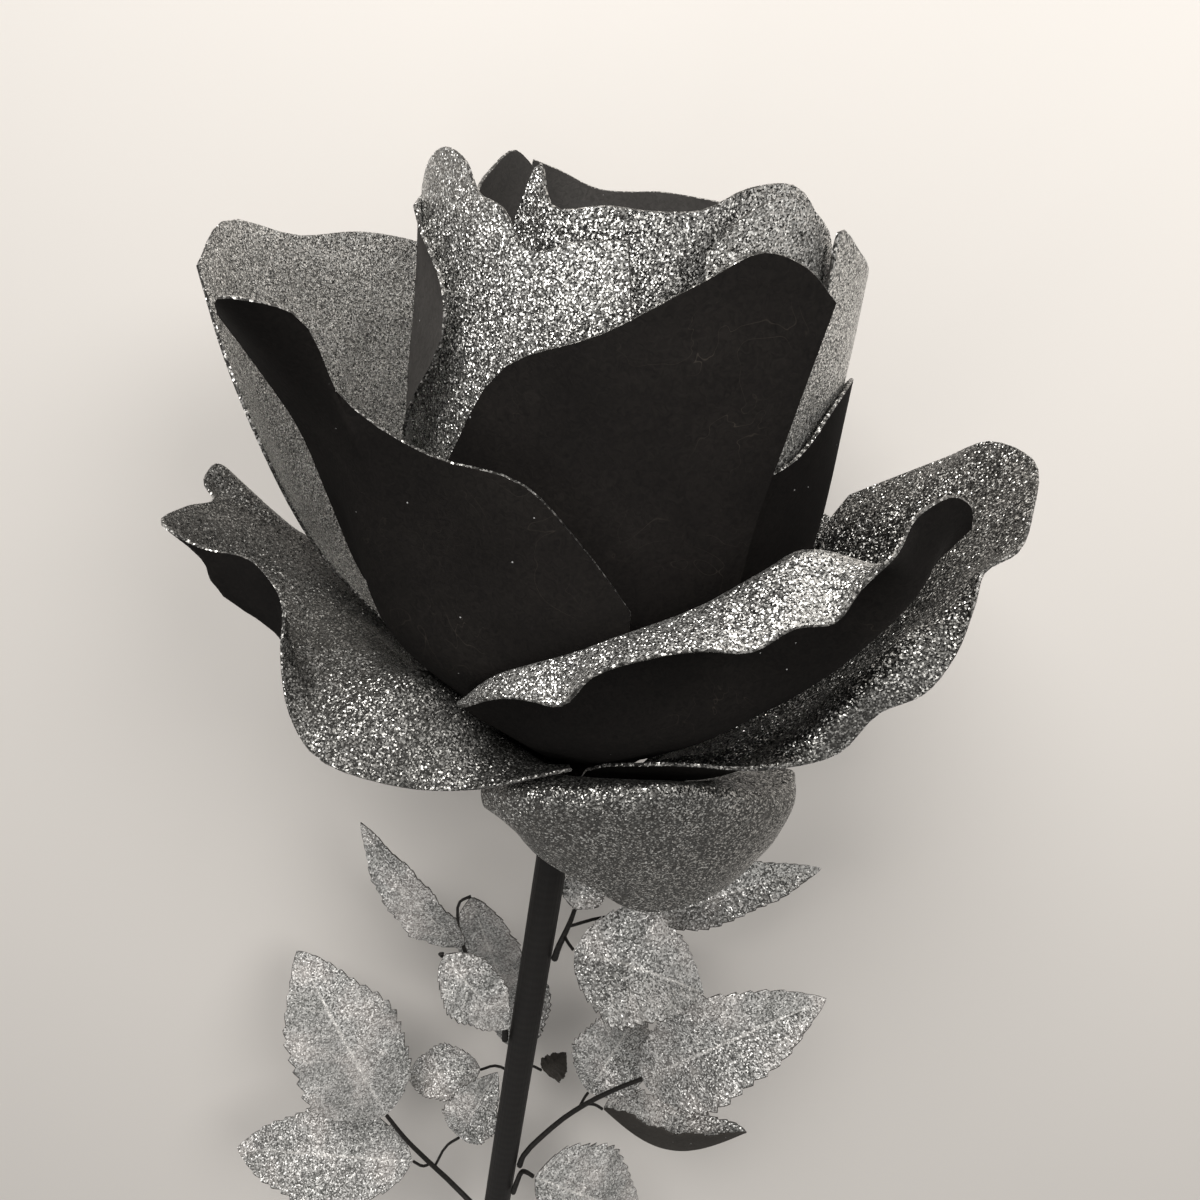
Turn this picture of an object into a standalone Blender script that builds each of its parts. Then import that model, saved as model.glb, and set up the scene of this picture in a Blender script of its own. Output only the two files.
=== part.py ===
# A giant display rose: petals and leaves cut from glittered sheet, on a plain dark stem.
# Every piece is drawn upright round the stem, and then the whole flower is laid down as it comes to rest.
# Upright frame: origin at the foot of the petals, +Z up the stem to the bud, +X right, -Y to the front.

import math

import bmesh
import bpy
import numpy as np
from mathutils import Euler, Matrix, Vector
from mathutils.bvhtree import BVHTree

# Driving sizes, in metres
HEAD_RADIUS = 0.165
HEAD_HEIGHT = 0.240
PETAL_THICKNESS = 0.0012
SEAT_GAP = 0.0004
NEST_GAP = 0.0010
CORE_RADIUS = 0.024
CORE_TOP = 0.030
CORE_FOOT = 0.036
SOCKET_DEPTH = 0.020
STEM_RADIUS = 0.0075
STEM_LENGTH = 0.740
STEM_CHAMFER = 0.0008
WIRE_RADIUS = 0.0011
STALK_RADIUS = 0.0008
LEAF_THICKNESS = 0.0007

# Mesh fineness
PETAL_ROWS = 8
DEGREES_PER_COLUMN = 10.5
CORE_SEGMENTS = 28
STEM_SEGMENTS = 24
WIRE_SEGMENTS = 8
LEAF_TEETH = 6

# Heights on the core where each ring of petals is glued, as shares of the way from its top to its foot
SEAT_LEVELS = {"heart": 0.10, "inner": 0.21, "bud": 0.32, "guard": 0.44, "spread": 0.58, "lowest": 0.70}
SEAT_NARROWING = 0.42
NEST_CENTRE = 0.46

# Each petal is a loft through ribs. A rib runs from the foot to the rim, and each of its points is
# (degrees round from the front, percent of HEAD_RADIUS, percent of HEAD_HEIGHT).
# The petals come in the order in which they are glued on, from the heart outwards.
PETALS = (
    ("heart_petal", "heart", (
        ((-160, 9, 28), (-160, 9, 50), (-160, 9, 74)),
        ((-90, 10, 28), (-90, 12, 50), (-90, 12, 77)),
        ((-20, 11, 28), (-20, 15, 50), (-20, 16, 78)),
        ((50, 13, 28), (50, 18, 50), (50, 19, 77)),
        ((120, 14, 28), (120, 21, 50), (120, 22, 75)),
        ((190, 16, 28), (190, 24, 50), (190, 25, 72)),
        ((250, 17, 28), (250, 26, 50), (250, 27, 68)),
    )),
    ("inner_left_petal", "inner", (
        ((-58, 24, 22), (-58, 35, 52), (-58, 34, 84)),
        ((-74, 24, 22), (-74, 36, 52), (-75, 36, 88)),
        ((-92, 24, 22), (-90, 36, 52), (-91, 37, 91)),
        ((-108, 24, 22), (-108, 36, 52), (-107, 38, 94)),
        ((-122, 24, 22), (-122, 36, 52), (-121, 38, 97)),
        ((-136, 24, 22), (-136, 36, 52), (-132, 37, 94)),
    )),
    ("inner_back_petal", "inner", (
        ((62, 24, 22), (62, 35, 52), (62, 34, 90)),
        ((95, 24, 22), (95, 35, 52), (95, 35, 93)),
        ((126, 24, 22), (126, 36, 52), (126, 37, 94)),
        ((154, 24, 22), (154, 37, 52), (154, 38, 94)),
        ((180, 24, 22), (180, 38, 52), (180, 38, 94)),
        ((202, 24, 22), (202, 38, 52), (202, 38, 93)),
        ((216, 24, 22), (216, 38, 52), (218, 39, 95)),
        ((226, 24, 22), (228, 38, 52), (229, 39, 96)),
    )),
    ("inner_front_petal", "inner", (
        ((-40, 25, 22), (-42, 38, 52), (-36, 40, 91)),
        ((-32, 25, 22), (-36, 39, 52), (-30, 40, 97)),
        ((-22, 25, 22), (-27, 39, 52), (-25, 41, 93)),
        ((-8, 25, 22), (-10, 39, 52), (-10, 42, 94)),
        ((9, 25, 22), (10, 39, 52), (10, 42, 95)),
        ((20, 25, 22), (23, 39, 52), (21, 41, 98)),
        ((32, 25, 22), (37, 39, 52), (33, 41, 99)),
        ((44, 25, 22), (52, 38, 52), (48, 40, 95)),
    )),
    ("bud_back_petal", "bud", (
        ((84, 27, 20), (86, 40, 50), (86, 41, 82)),
        ((114, 27, 20), (116, 41, 50), (116, 43, 90)),
        ((146, 27, 20), (148, 41, 50), (148, 44, 91)),
        ((178, 27, 20), (180, 41, 50), (180, 43, 90)),
        ((206, 27, 20), (208, 40, 50), (208, 42, 84)),
    )),
    ("bud_left_petal", "bud", (
        ((-58, 28, 20), (-62, 44, 46), (-53, 52, 62), (-40, 52, 80), (-57, 51, 90)),
        ((-54, 28, 20), (-61, 43, 46), (-65, 47, 62), (-58, 49, 80), (-64, 48, 91)),
        ((-49, 28, 20), (-55, 43, 46), (-58, 46, 62), (-53, 48, 80), (-59, 48, 95)),
        ((-43, 28, 20), (-48, 43, 46), (-50, 46, 62), (-47, 47, 80), (-51, 48, 97)),
        ((-37, 28, 20), (-41, 43, 46), (-43, 46, 62), (-41, 47, 80), (-43, 48, 96)),
        ((-32, 28, 20), (-34, 43, 46), (-35, 46, 62), (-35, 47, 78), (-38, 48, 93)),
        ((-24, 28, 20), (-27, 43, 46), (-27, 46, 62), (-28, 47, 76), (-31, 48, 92)),
        ((-18, 28, 20), (-19, 43, 46), (-20, 46, 62), (-21, 47, 76), (-25, 47, 88)),
        ((-8, 28, 20), (-10, 43, 46), (-11, 46, 62), (-11, 47, 76), (-14, 47, 90)),
        ((2, 28, 20), (2, 43, 46), (2, 46, 62), (1, 47, 76), (-4, 47, 91)),
    )),
    ("bud_right_petal", "bud", (
        ((10, 28, 20), (14, 43, 48), (15, 48, 76), (11, 49, 91)),
        ((17, 28, 20), (20, 43, 48), (21, 48, 76), (18, 49, 96)),
        ((25, 28, 20), (28, 43, 48), (29, 48, 76), (25, 49, 98)),
        ((36, 28, 20), (40, 43, 48), (40, 48, 76), (35, 48, 96)),
        ((47, 28, 20), (52, 43, 48), (52, 45, 76), (48, 44, 91)),
        ((58, 28, 20), (64, 42, 48), (64, 43, 76), (62, 42, 85)),
    )),
    ("bud_side_petal", "bud", (
        ((38, 29, 20), (34, 45, 50), (38, 49, 75), (38, 50, 90)),
        ((46, 29, 20), (44, 45, 50), (44, 48, 75), (38, 50, 95)),
        ((57, 29, 20), (56, 44, 50), (56, 47, 75), (49, 48, 93)),
        ((68, 29, 20), (72, 43, 50), (72, 45, 75), (66, 45, 90)),
        ((80, 29, 20), (88, 43, 50), (88, 44, 75), (82, 43, 86)),
        ((94, 29, 20), (104, 43, 50), (104, 43, 72), (100, 43, 80)),
    )),
    ("guard_right_petal", "guard", (
        ((20, 31, 18), (24, 47, 46), (25, 50, 64)),
        ((38, 31, 18), (42, 47, 46), (41, 50, 68)),
        ((50, 31, 18), (54, 47, 46), (52, 49, 74)),
        ((64, 31, 18), (70, 47, 46), (66, 47, 76)),
        ((78, 31, 18), (86, 46, 46), (84, 46, 74)),
        ((92, 31, 18), (102, 46, 46), (102, 46, 68)),
    )),
    ("guard_back_petal", "guard", (
        ((104, 32, 18), (96, 48, 42), (98, 48, 66)),
        ((124, 32, 18), (120, 50, 42), (121, 53, 78)),
        ((144, 32, 18), (146, 51, 42), (146, 55, 82)),
        ((164, 32, 18), (172, 50, 42), (172, 54, 80)),
        ((182, 32, 18), (196, 49, 42), (195, 51, 72)),
    )),
    ("guard_front_petal", "guard", (
        ((-28, 31, 20), (-35, 51, 42), (-36, 54, 52), (-34, 54, 61)),
        ((-19, 31, 20), (-25, 51, 42), (-26, 54, 58), (-22.1, 54, 75.7)),
        ((-7, 31, 20), (-8, 51, 42), (-9, 54, 64), (-5.6, 54, 81.4)),
        ((5, 31, 20), (7, 51, 42), (7, 54, 66), (10.4, 54, 88.7)),
        ((12, 31, 20), (16, 51, 42), (16, 54, 66), (19.4, 54.5, 92.4)),
        ((19, 31, 20), (24, 51, 42), (25, 54, 66), (27.4, 55, 91.4)),
        ((25, 31, 20), (31, 51, 44), (30, 54, 60), (34.6, 56, 88.1)),
    )),
    ("guard_left_petal", "guard", (
        ((-61, 34, 18), (-60, 57, 39), (-59, 71, 62), (-56, 85, 76)),
        ((-55, 34, 18), (-54, 57, 39), (-52, 70, 64), (-46, 87, 80)),
        ((-48, 34, 18), (-46, 58, 37), (-45, 68, 63), (-43, 79, 79)),
        ((-41, 33, 18), (-38, 58, 36), (-39, 65, 58), (-43, 71, 70)),
        ((-32, 33, 18), (-27, 58, 36), (-27, 61, 54), (-29, 64, 65)),
        ((-22, 33, 18), (-14, 57, 35), (-14, 60, 52), (-13, 61, 64)),
        ((-13, 33, 19), (-3, 57, 34), (-3, 60, 48), (-3, 60, 58)),
        ((-5, 33, 20), (7, 57, 33), (8, 59, 41), (7, 59, 50)),
    )),
    ("left_wing_petal", "guard", (
        ((-76, 38, 18), (-76, 64, 36), (-70, 77, 56), (-80, 90, 77)),
        ((-84, 38, 18), (-87, 64, 36), (-84, 78, 56), (-88, 89, 82)),
        ((-96, 37, 18), (-100, 60, 38), (-100, 72, 58), (-102, 81, 80)),
        ((-108, 36, 18), (-114, 58, 38), (-115, 68, 58), (-113, 75, 81)),
        ((-122, 35, 18), (-130, 56, 38), (-131, 62, 58), (-130, 67, 79)),
        ((-136, 34, 18), (-146, 54, 38), (-148, 58, 56), (-148, 60, 74)),
    )),
    ("front_cup_petal", "spread", (
        ((-9, 29, 12), (-22, 51, 26), (-22, 59, 31), (-19, 64.7, 33.5)),
        ((-5, 30, 12), (-14, 54, 28), (-14.3, 61.5, 38.1), (-11.9, 67, 37.7)),
        ((-2, 30, 12), (-8, 56, 28.5), (-7.2, 63.5, 42.1), (-6.2, 70, 39.9)),
        ((1, 30, 12), (-2, 57, 29), (-1.5, 65, 45.1), (-1.7, 73, 41.3)),
        ((3.5, 30, 12), (3, 57.5, 29), (3.2, 65.5, 47.7), (1.8, 74.5, 46.6)),
        ((6, 30, 12), (8, 58, 29), (8, 66, 50), (7.8, 76, 50.2)),
        ((10, 30, 12), (14, 59, 30.5), (14.5, 67.5, 53.4), (13.4, 79.5, 53.1)),
        ((13, 30, 12), (19, 60, 32), (19.7, 69.5, 57), (18.7, 82, 54.1)),
        ((16, 30, 12), (23, 61, 33), (24, 71.5, 60.4), (22.8, 83, 57.3)),
        ((19, 30, 12), (28, 62, 34.5), (28, 73, 63), (27.3, 84, 58.2)),
        ((21.5, 30, 12), (32, 64, 37), (32, 76.5, 63), (28.6, 85, 62.4)),
        ((24, 30, 12), (37, 66, 40), (36, 80, 62), (31.3, 86, 66.8)),
        ((27, 30, 12), (41, 67, 41), (41, 81, 60), (35, 83.1, 69.7)),
        ((29, 30, 12), (43, 66.5, 42.5), (43, 81, 60), (39, 84, 72)),
        ((31, 29.5, 12), (46, 66, 44), (45, 79, 60), (43, 84.7, 70.6)),
        ((33, 29, 12), (48, 65, 45), (47, 77, 59), (45.5, 84.3, 67.6)),
    )),
    ("left_spread_petal", "spread", (
        ((-76, 32, 10), (-90, 50, 22), (-96, 63, 29), (-95, 76, 31)),
        ((-73, 32, 10), (-86, 51, 23), (-92, 69, 32), (-92, 85, 36.1)),
        ((-71, 32, 10), (-84, 52, 24), (-89, 71, 33), (-90, 88.7, 42.5)),
        ((-69.5, 32, 10), (-81, 53, 24.5), (-87, 72, 33.5), (-88.5, 92.3, 45)),
        ((-68, 32, 10), (-79, 53, 25), (-85, 73, 34), (-86, 93.6, 43.1)),
        ((-66, 32, 10), (-77, 54, 25.5), (-82, 74, 34.5), (-83, 89.8, 41.6)),
        ((-63, 32, 10), (-73, 54.5, 26), (-77, 77, 35), (-76, 92.9, 42.9)),
        ((-59, 32, 10), (-67, 55, 27), (-71, 80, 33.5), (-68, 95.5, 43.8)),
        ((-56, 32, 10), (-62, 56, 27), (-66, 86.5, 36.2), (-65, 88, 41.7)),
        ((-53, 32, 10), (-59, 56, 27), (-62, 79.1, 33.1), (-62, 79.3, 41.1)),
        ((-50, 32, 10), (-56, 55, 27), (-58, 74.4, 30.5), (-59.5, 76.3, 39.3)),
        ((-48, 32, 10.5), (-54, 54, 27), (-55, 72.9, 28.7), (-56, 74.7, 37.3)),
        ((-45, 32, 11), (-51, 53, 27), (-51, 71.5, 26.4), (-52, 76.2, 30.7)),
        ((-41, 32, 11), (-46, 52, 27.5), (-47, 70, 24), (-47, 76.8, 23.7)),
        ((-37, 31, 12), (-41, 50, 28.5), (-42, 67, 24), (-42.5, 75.4, 20)),
        ((-29, 30, 11), (-32, 48, 27), (-33, 60, 24), (-31, 67.9, 17.9)),
        ((-20, 29, 10), (-21, 44, 22.5), (-21, 54, 21.5), (-20, 61.1, 18.4)),
        ((-12, 27.5, 10), (-12, 41, 20), (-13, 49, 21.5), (-13.8, 58, 20.2)),
        ((-6, 26.5, 10), (-5, 38, 18), (-6, 45, 21.5), (-6.3, 54, 22.8)),
        ((0, 26, 10), (1, 36, 17), (1, 42, 21), (1.4, 50, 23.7)),
    )),
    ("right_spread_petal", "spread", (
        ((8, 25, 12), (6, 38, 24), (7, 42, 26), (9, 45, 27.5)),
        ((17, 26, 11.5), (17, 41, 25), (19, 47, 28), (20, 50.5, 30)),
        ((26, 27, 11), (28, 48, 26), (32, 55, 29), (40, 61.1, 29.7)),
        ((34, 28, 10), (38, 50, 22), (44, 66, 31), (47, 70.6, 31.2)),
        ((40, 29, 10), (45, 54, 23), (48, 72, 37), (51, 76.2, 37.6)),
        ((45, 29, 10), (51, 57, 25), (53, 76, 43), (54, 81.6, 41.2)),
        ((50, 30, 10), (56, 58, 27), (57, 78, 48), (57, 83.9, 47)),
        ((55, 30, 10), (61, 59, 29), (61, 79, 51), (60, 83.4, 53.3)),
        ((59, 30, 10), (65, 60, 30), (65, 79, 53), (63, 82.5, 57)),
        ((63, 30, 10), (70, 60, 31), (71, 79, 54.5), (67, 86.8, 59.8)),
        ((68, 30, 10), (76, 59, 32), (78, 77, 55), (73, 87.6, 64)),
        ((73, 30, 10), (83, 57, 32), (87, 73, 55), (83, 87.4, 68.3)),
        ((77, 29, 10), (89, 55, 32), (93, 69, 54), (91, 81.5, 68)),
        ((81, 29, 10), (95, 53, 32), (99, 64, 51), (98, 76.9, 62.7)),
        ((87, 28, 10), (104, 50, 30), (108, 56, 44), (110, 63.5, 51.6)),
    )),
    ("back_left_spread_petal", "spread", (
        ((-114, 28, 8), (-106, 50, 15), (-104, 62, 22), (-106, 72, 30)),
        ((-128, 28, 8), (-124, 54, 15), (-122, 74, 24), (-122, 87, 36)),
        ((-142, 28, 8), (-142, 56, 15), (-142, 76, 25), (-142, 92, 38)),
        ((-156, 28, 8), (-160, 54, 15), (-162, 74, 24), (-162, 87, 36)),
        ((-169, 28, 8), (-178, 50, 15), (-180, 62, 22), (-178, 72, 30)),
    )),
    ("back_right_spread_petal", "spread", (
        ((116, 28, 8), (108, 50, 15), (106, 62, 22), (108, 72, 30)),
        ((129, 28, 8), (125, 54, 15), (123, 74, 24), (123, 87, 36)),
        ((142, 28, 8), (142, 56, 15), (142, 76, 25), (142, 92, 38)),
        ((155, 28, 8), (159, 54, 15), (161, 74, 24), (161, 87, 36)),
        ((167, 28, 8), (174, 50, 15), (176, 62, 22), (174, 72, 30)),
    )),
    ("hanging_petal", "lowest", (
        ((-12, 22, 5), (-19, 33, 18), (-19, 42, 19.5), (-16, 44.5, 11.5)),
        ((-3, 23, 6), (-8, 36, 23), (-7, 46, 24), (-4, 48.5, 7.5)),
        ((7, 24, 6), (7, 39, 26), (8, 48, 28), (11, 50.5, 3.5)),
        ((18, 24, 6), (20, 41, 27), (22, 50.5, 29.5), (24, 52, -1)),
        ((29, 24, 6), (34, 42, 26), (37, 52, 27), (36, 57, 2)),
        ((39, 23, 6), (47, 40, 24), (50, 53, 23), (47, 58.5, 5)),
        ((47, 22, 5), (58, 38, 19.5), (61, 52, 20), (61, 59, 11)),
    )),
)

# The petals whose glitter is on the outside; on the others it is on the inside
GLITTER_OUTSIDE = (
    "heart_petal", "inner_left_petal", "inner_back_petal", "inner_front_petal",
    "bud_back_petal", "bud_left_petal", "bud_right_petal", "bud_side_petal",
)

# Leaf sprays: (name, degrees round the stem, height on the stem, wire, side stalks, leaves), in millimetres.
# The first leaf grows on the end of the wire and the others on the ends of the stalks, in their order.
# A leaf is (name, tip, width, degrees turned about its own line, arch, slope of its two halves).
SPRAYS = (
    ("upper_left", -75, -186, ((-24, 6, -164), (-34, 8, -146), (-38, 10, -138)),
        (((-33, 8, -148), (-44, 2, -140), (-48, -2, -133), (-46, -5, -129)),
         ((-34, 8, -147), (-43, 18, -131), (-44, 25, -123), (-39, 28, -121))),
        (("upper_left_long_leaf", (-97, 22, -79), 27, -35, 8, 0.3),
         ("upper_left_bright_leaf", (-8, -14, -163), 32, 10, 5, 0.3),
         ("upper_left_back_leaf", (-8, 36, -206), 34, 20, 5, 0.2))),
    ("upper_right", 70, -122, ((12, 0, -108), (14, 4, -102), (15, 8, -99)),
        (((13, 2, -105), (30, 10, -103), (53, 16, -107)),
         ((12, 0, -109), (14, -5, -108), (17, -9, -108))),
        (("upper_right_bud_leaf", (19, 24, -86), 24, 10, 3, 0.3),
         ("upper_right_far_leaf", (134, 32, -69), 28, 0, 10, 0.3),
         ("upper_right_broad_leaf", (82, -15, -116), 60, 0, 8, 0.3))),
    ("middle_right", 80, -288, ((24, 6, -262), (40, 5, -236), (56, 2, -214), (66, 0, -202)),
        (((37, 6, -241), (39, 11, -240), (41, 15, -240)),
         ((40, 5, -236), (45, 7, -238), (50, 8, -242))),
        (("middle_right_end_leaf", (149, 8, -131), 54, 0, 18, 0.3),
         ("middle_right_upper_leaf", (65, 46, -198), 46, 0, 6, 0.3),
         ("middle_right_curled_leaf", (131, 6, -239), 54, -49, -19, 1.8))),
    ("lower_left", -80, -346, ((-26, 6, -330), (-44, 6, -310), (-58, 4, -290), (-70, 4, -272)),
        (((-42, 8, -314), (-46, 4, -312), (-52, 2, -306)),
         ((-40, 8, -317), (-34, 10, -298), (-28, 10, -290))),
        (("lower_left_broad_leaf", (-136, 42, -197), 66, 0, 8, 0.25),
         ("lower_left_side_leaf", (-158, 5, -325), 56, 0, 8, 0.25),
         ("lower_left_inner_leaf", (-12, 26, -250), 34, 0, 5, 0.3))),
    ("lower_right", 60, -308, ((11, -2, -294), (14, -5, -288), (18, -8, -286)),
        (),
        (("lower_right_broad_leaf", (84, 2, -322), 60, 0, 7, 0.25),)),
    ("back", 165, -262, ((-2, 16, -250), (-4, 24, -240), (-6, 30, -232)),
        (((-3, 20, -245), (6, 26, -240), (13, 29, -246)),
         ((-3, 22, -243), (-14, 30, -250), (-22, 32, -258))),
        (("back_upper_leaf", (-2, 58, -178), 36, 0, 5, 0.3),
         ("back_small_leaf", (26, 40, -242), 20, 150, 3, 0.3),
         ("back_lower_leaf", (-66, 36, -280), 32, 0, 5, 0.3))),
)
MILLIMETRE = 0.001
WIRE_RISE = 9
LEAF_FACES = (0, -0.57, 0.82)
LEAF_FOOT_WIDTH = 0.003
LEAF_TOOTH = 0.10


def clear_scene():
    for thing in list(bpy.data.objects):
        bpy.data.objects.remove(thing)


def material(name, colour, roughness, metallic):
    made = bpy.data.materials.new(name)
    made.use_nodes = True
    shader = made.node_tree.nodes["Principled BSDF"]
    shader.inputs["Base Color"].default_value = (*colour, 1)
    shader.inputs["Roughness"].default_value = roughness
    shader.inputs["Metallic"].default_value = metallic
    return made


def add_object(name, mesh, materials, frame):
    made = bpy.data.objects.new(name, mesh)
    for finish in materials:
        mesh.materials.append(finish)
    made.parent = frame
    bpy.context.scene.collection.objects.link(made)
    return made


def smooth_through(points, steps):
    """A smooth curve through all the given points, with so many steps between each point and the next."""
    points = np.asarray(points, float)
    lengths = np.linalg.norm(np.diff(points, axis=0), axis=1)
    at = np.concatenate([[0], np.cumsum(np.maximum(lengths, 1e-6))])
    slopes = np.gradient(points, at, axis=0)
    left = np.repeat(np.arange(len(steps)), steps)
    t = np.concatenate([np.arange(count) / count for count in steps])[:, None]
    span = (at[left + 1] - at[left])[:, None]
    curve = (
        (2 * t**3 - 3 * t**2 + 1) * points[left]
        + (t**3 - 2 * t**2 + t) * span * slopes[left]
        + (3 * t**2 - 2 * t**3) * points[left + 1]
        + (t**3 - t**2) * span * slopes[left + 1]
    )
    return np.vstack([curve, points[-1]])


def on_ring(degrees, radius, height):
    """The point this far round from the front of the flower."""
    angle = np.radians(degrees)
    return np.stack([radius * np.sin(angle), -radius * np.cos(angle), height], axis=-1)


def core_height(share):
    return CORE_TOP - share * (CORE_TOP + CORE_FOOT)


def core_radius(share):
    """The core swells from a rounded top and draws in again to its collar round the stem."""
    collar = STEM_RADIUS / CORE_RADIUS + 0.12
    swell = math.sin(math.pi * min(share / 1.16, 1.0)) ** 0.75 if share > 0 else 0
    return CORE_RADIUS * max(swell, collar * (share > 0.8))


def petal_grid(ring, ribs):
    """Rows of points from the foot of a petal to its rim, on the middle of the sheet."""
    share = SEAT_LEVELS[ring]
    seat_radius = core_radius(share) + SEAT_GAP + PETAL_THICKNESS / 2
    middle = sum(rib[0][0] for rib in ribs) / len(ribs)
    lofted = []
    for rib in ribs:
        turned = middle + (rib[0][0] - middle) * SEAT_NARROWING
        foot = (turned, 100 * seat_radius / HEAD_RADIUS, 100 * core_height(share) / HEAD_HEIGHT)
        steps = [PETAL_ROWS // len(rib)] * len(rib)
        steps[-1] += PETAL_ROWS - sum(steps)
        lofted.append(smooth_through((foot, *rib), steps))
    lofted = np.stack(lofted)
    gaps = np.abs(np.diff(lofted[..., 0], axis=0)).mean(axis=1)
    steps = [max(1, round(gap / DEGREES_PER_COLUMN)) for gap in gaps]
    rows = [smooth_through(lofted[:, row], steps) for row in range(lofted.shape[1])]
    scaled = np.stack(rows, axis=1) * (1, HEAD_RADIUS / 100, HEAD_HEIGHT / 100)
    return on_ring(scaled[..., 0], scaled[..., 1], scaled[..., 2])


def neighbours_max(field):
    padded = np.pad(field, 1, mode="edge")
    rows, columns = field.shape
    shifts = [padded[i : i + rows, k : k + columns] for i in range(3) for k in range(3)]
    return np.max(shifts, axis=0), np.mean(shifts, axis=0)


def with_midpoints(grid):
    """The grid with a point more between each two neighbours."""
    for axis in (0, 1):
        near = np.take(grid, range(grid.shape[axis] - 1), axis=axis)
        far = np.take(grid, range(1, grid.shape[axis]), axis=axis)
        wider = np.repeat(grid, 2, axis=axis)
        wider = np.take(wider, range(wider.shape[axis] - 1), axis=axis)
        between = (slice(None),) * axis + (slice(1, None, 2),)
        wider[between] = (near + far) / 2
        grid = wider
    return grid


def nest_outside(grid, earlier):
    """Moves a petal out, from the heart of the flower, where it would pass through the petals inside it."""
    if earlier is None:
        return grid
    centre = Vector((0, 0, NEST_CENTRE * HEAD_HEIGHT))
    half = PETAL_THICKNESS / 2 + NEST_GAP
    finer = with_midpoints(grid)
    push = np.zeros(finer.shape[:2])
    for place in np.ndindex(push.shape):
        reach = Vector(finer[place]) - centre
        distance = reach.length
        way = reach / distance
        start = centre + way * 2 * HEAD_RADIUS
        where, normal, _, gone = earlier.ray_cast(start, -way, 2 * HEAD_RADIUS)
        if where is not None:
            needed = 2 * HEAD_RADIUS - gone + half / max(abs(normal.dot(way)), 0.5)
            push[place] = max(0, needed - distance)
    for _ in range(2):
        push = neighbours_max(push)[0]
    push = push[::2, ::2]
    push = np.maximum(push, neighbours_max(push)[1])
    push[:, 0] = 0
    outward = grid - np.array(centre)
    length = np.linalg.norm(outward, axis=-1, keepdims=True)
    return grid + outward / length * push[..., None]


def sheet_normals(grid):
    across = np.gradient(grid, axis=0)
    along = np.gradient(grid, axis=1)
    normal = np.cross(across, along)
    return normal / np.linalg.norm(normal, axis=-1, keepdims=True)


def split_quads(corners, points):
    """Two triangles for each quad, cut along its shorter diagonal."""
    a, b, c, d = corners.T
    first = np.linalg.norm(points[a] - points[c], axis=-1) <= np.linalg.norm(points[b] - points[d], axis=-1)
    one = np.where(first[:, None], np.stack([a, b, c], axis=-1), np.stack([a, b, d], axis=-1))
    two = np.where(first[:, None], np.stack([a, c, d], axis=-1), np.stack([b, c, d], axis=-1))
    return np.concatenate([one, two])


def sheet_shell(grid, thickness):
    """Points and triangles of a closed sheet round the grid: one side, the other side and the cut edge."""
    columns, rows = grid.shape[:2]
    normal = sheet_normals(grid) * thickness / 2
    points = np.concatenate([(grid + normal).reshape(-1, 3), (grid - normal).reshape(-1, 3)])
    under = columns * rows
    place = np.arange(under).reshape(columns, rows)
    near, far, next_row, both = place[:-1, :-1], place[1:, :-1], place[:-1, 1:], place[1:, 1:]
    quads = np.stack([near, far, both, next_row], axis=-1).reshape(-1, 4)
    front = split_quads(quads, grid.reshape(-1, 3))
    back = front[:, ::-1] + under
    loop = np.concatenate([place[:, 0], place[-1, 1:], place[-2::-1, -1], place[0, -2:0:-1]])
    after = np.roll(loop, -1)
    edge = split_quads(np.stack([after, loop, loop + under, after + under], axis=-1), points)
    return points, np.concatenate([front, back, edge]), len(front)


def sheet_object(name, grid, thickness, front_finish, back_finish, frame):
    points, faces, front_count = sheet_shell(grid, thickness)
    mesh = bpy.data.meshes.new(name)
    mesh.from_pydata(points.tolist(), [], faces.tolist())
    made = add_object(name, mesh, (front_finish, back_finish), frame)
    for face in mesh.polygons:
        face.material_index = 0 if face.index < front_count else 1
        face.use_smooth = True
    mesh.set_sharp_from_angle(angle=math.radians(50))
    return made


def add_petals(glitter, black, frame):
    """Glues the petals on one by one, each outside those already there."""
    laid_points, laid_faces = [], []
    petals = []
    for name, ring, ribs in PETALS:
        earlier = BVHTree.FromPolygons(laid_points, laid_faces) if laid_faces else None
        grid = nest_outside(petal_grid(ring, ribs), earlier)
        outward = (sheet_normals(grid) * (grid - (0, 0, NEST_CENTRE * HEAD_HEIGHT))).sum() > 0
        if not outward:
            grid = grid[::-1]
        if name in GLITTER_OUTSIDE:
            petals.append(sheet_object(name, grid, PETAL_THICKNESS, glitter, black, frame))
        else:
            petals.append(sheet_object(name, grid, PETAL_THICKNESS, black, glitter, frame))
        points, faces, _ = sheet_shell(grid, PETAL_THICKNESS)
        laid_faces += [tuple(int(k) + len(laid_points) for k in face) for face in faces]
        laid_points += [tuple(point) for point in points]
    return petals


def turned_solid(name, profile, segments, finish, frame):
    """A closed solid of revolution from (radius, height) points that start and end on the axis."""
    shape = bmesh.new()
    line = [shape.verts.new((radius, 0, height)) for radius, height in profile]
    edges = [shape.edges.new(pair) for pair in zip(line, line[1:])]
    bmesh.ops.spin(
        shape, geom=line + edges, cent=(0, 0, 0), axis=(0, 0, 1), angle=math.tau,
        steps=segments, use_merge=True, use_duplicate=False,
    )
    bmesh.ops.remove_doubles(shape, verts=shape.verts, dist=1e-6)
    bmesh.ops.recalc_face_normals(shape, faces=shape.faces)
    mesh = bpy.data.meshes.new(name)
    shape.to_mesh(mesh)
    shape.free()
    mesh.shade_smooth()
    mesh.set_sharp_from_angle(angle=math.radians(35))
    return add_object(name, mesh, (finish,), frame)


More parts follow.
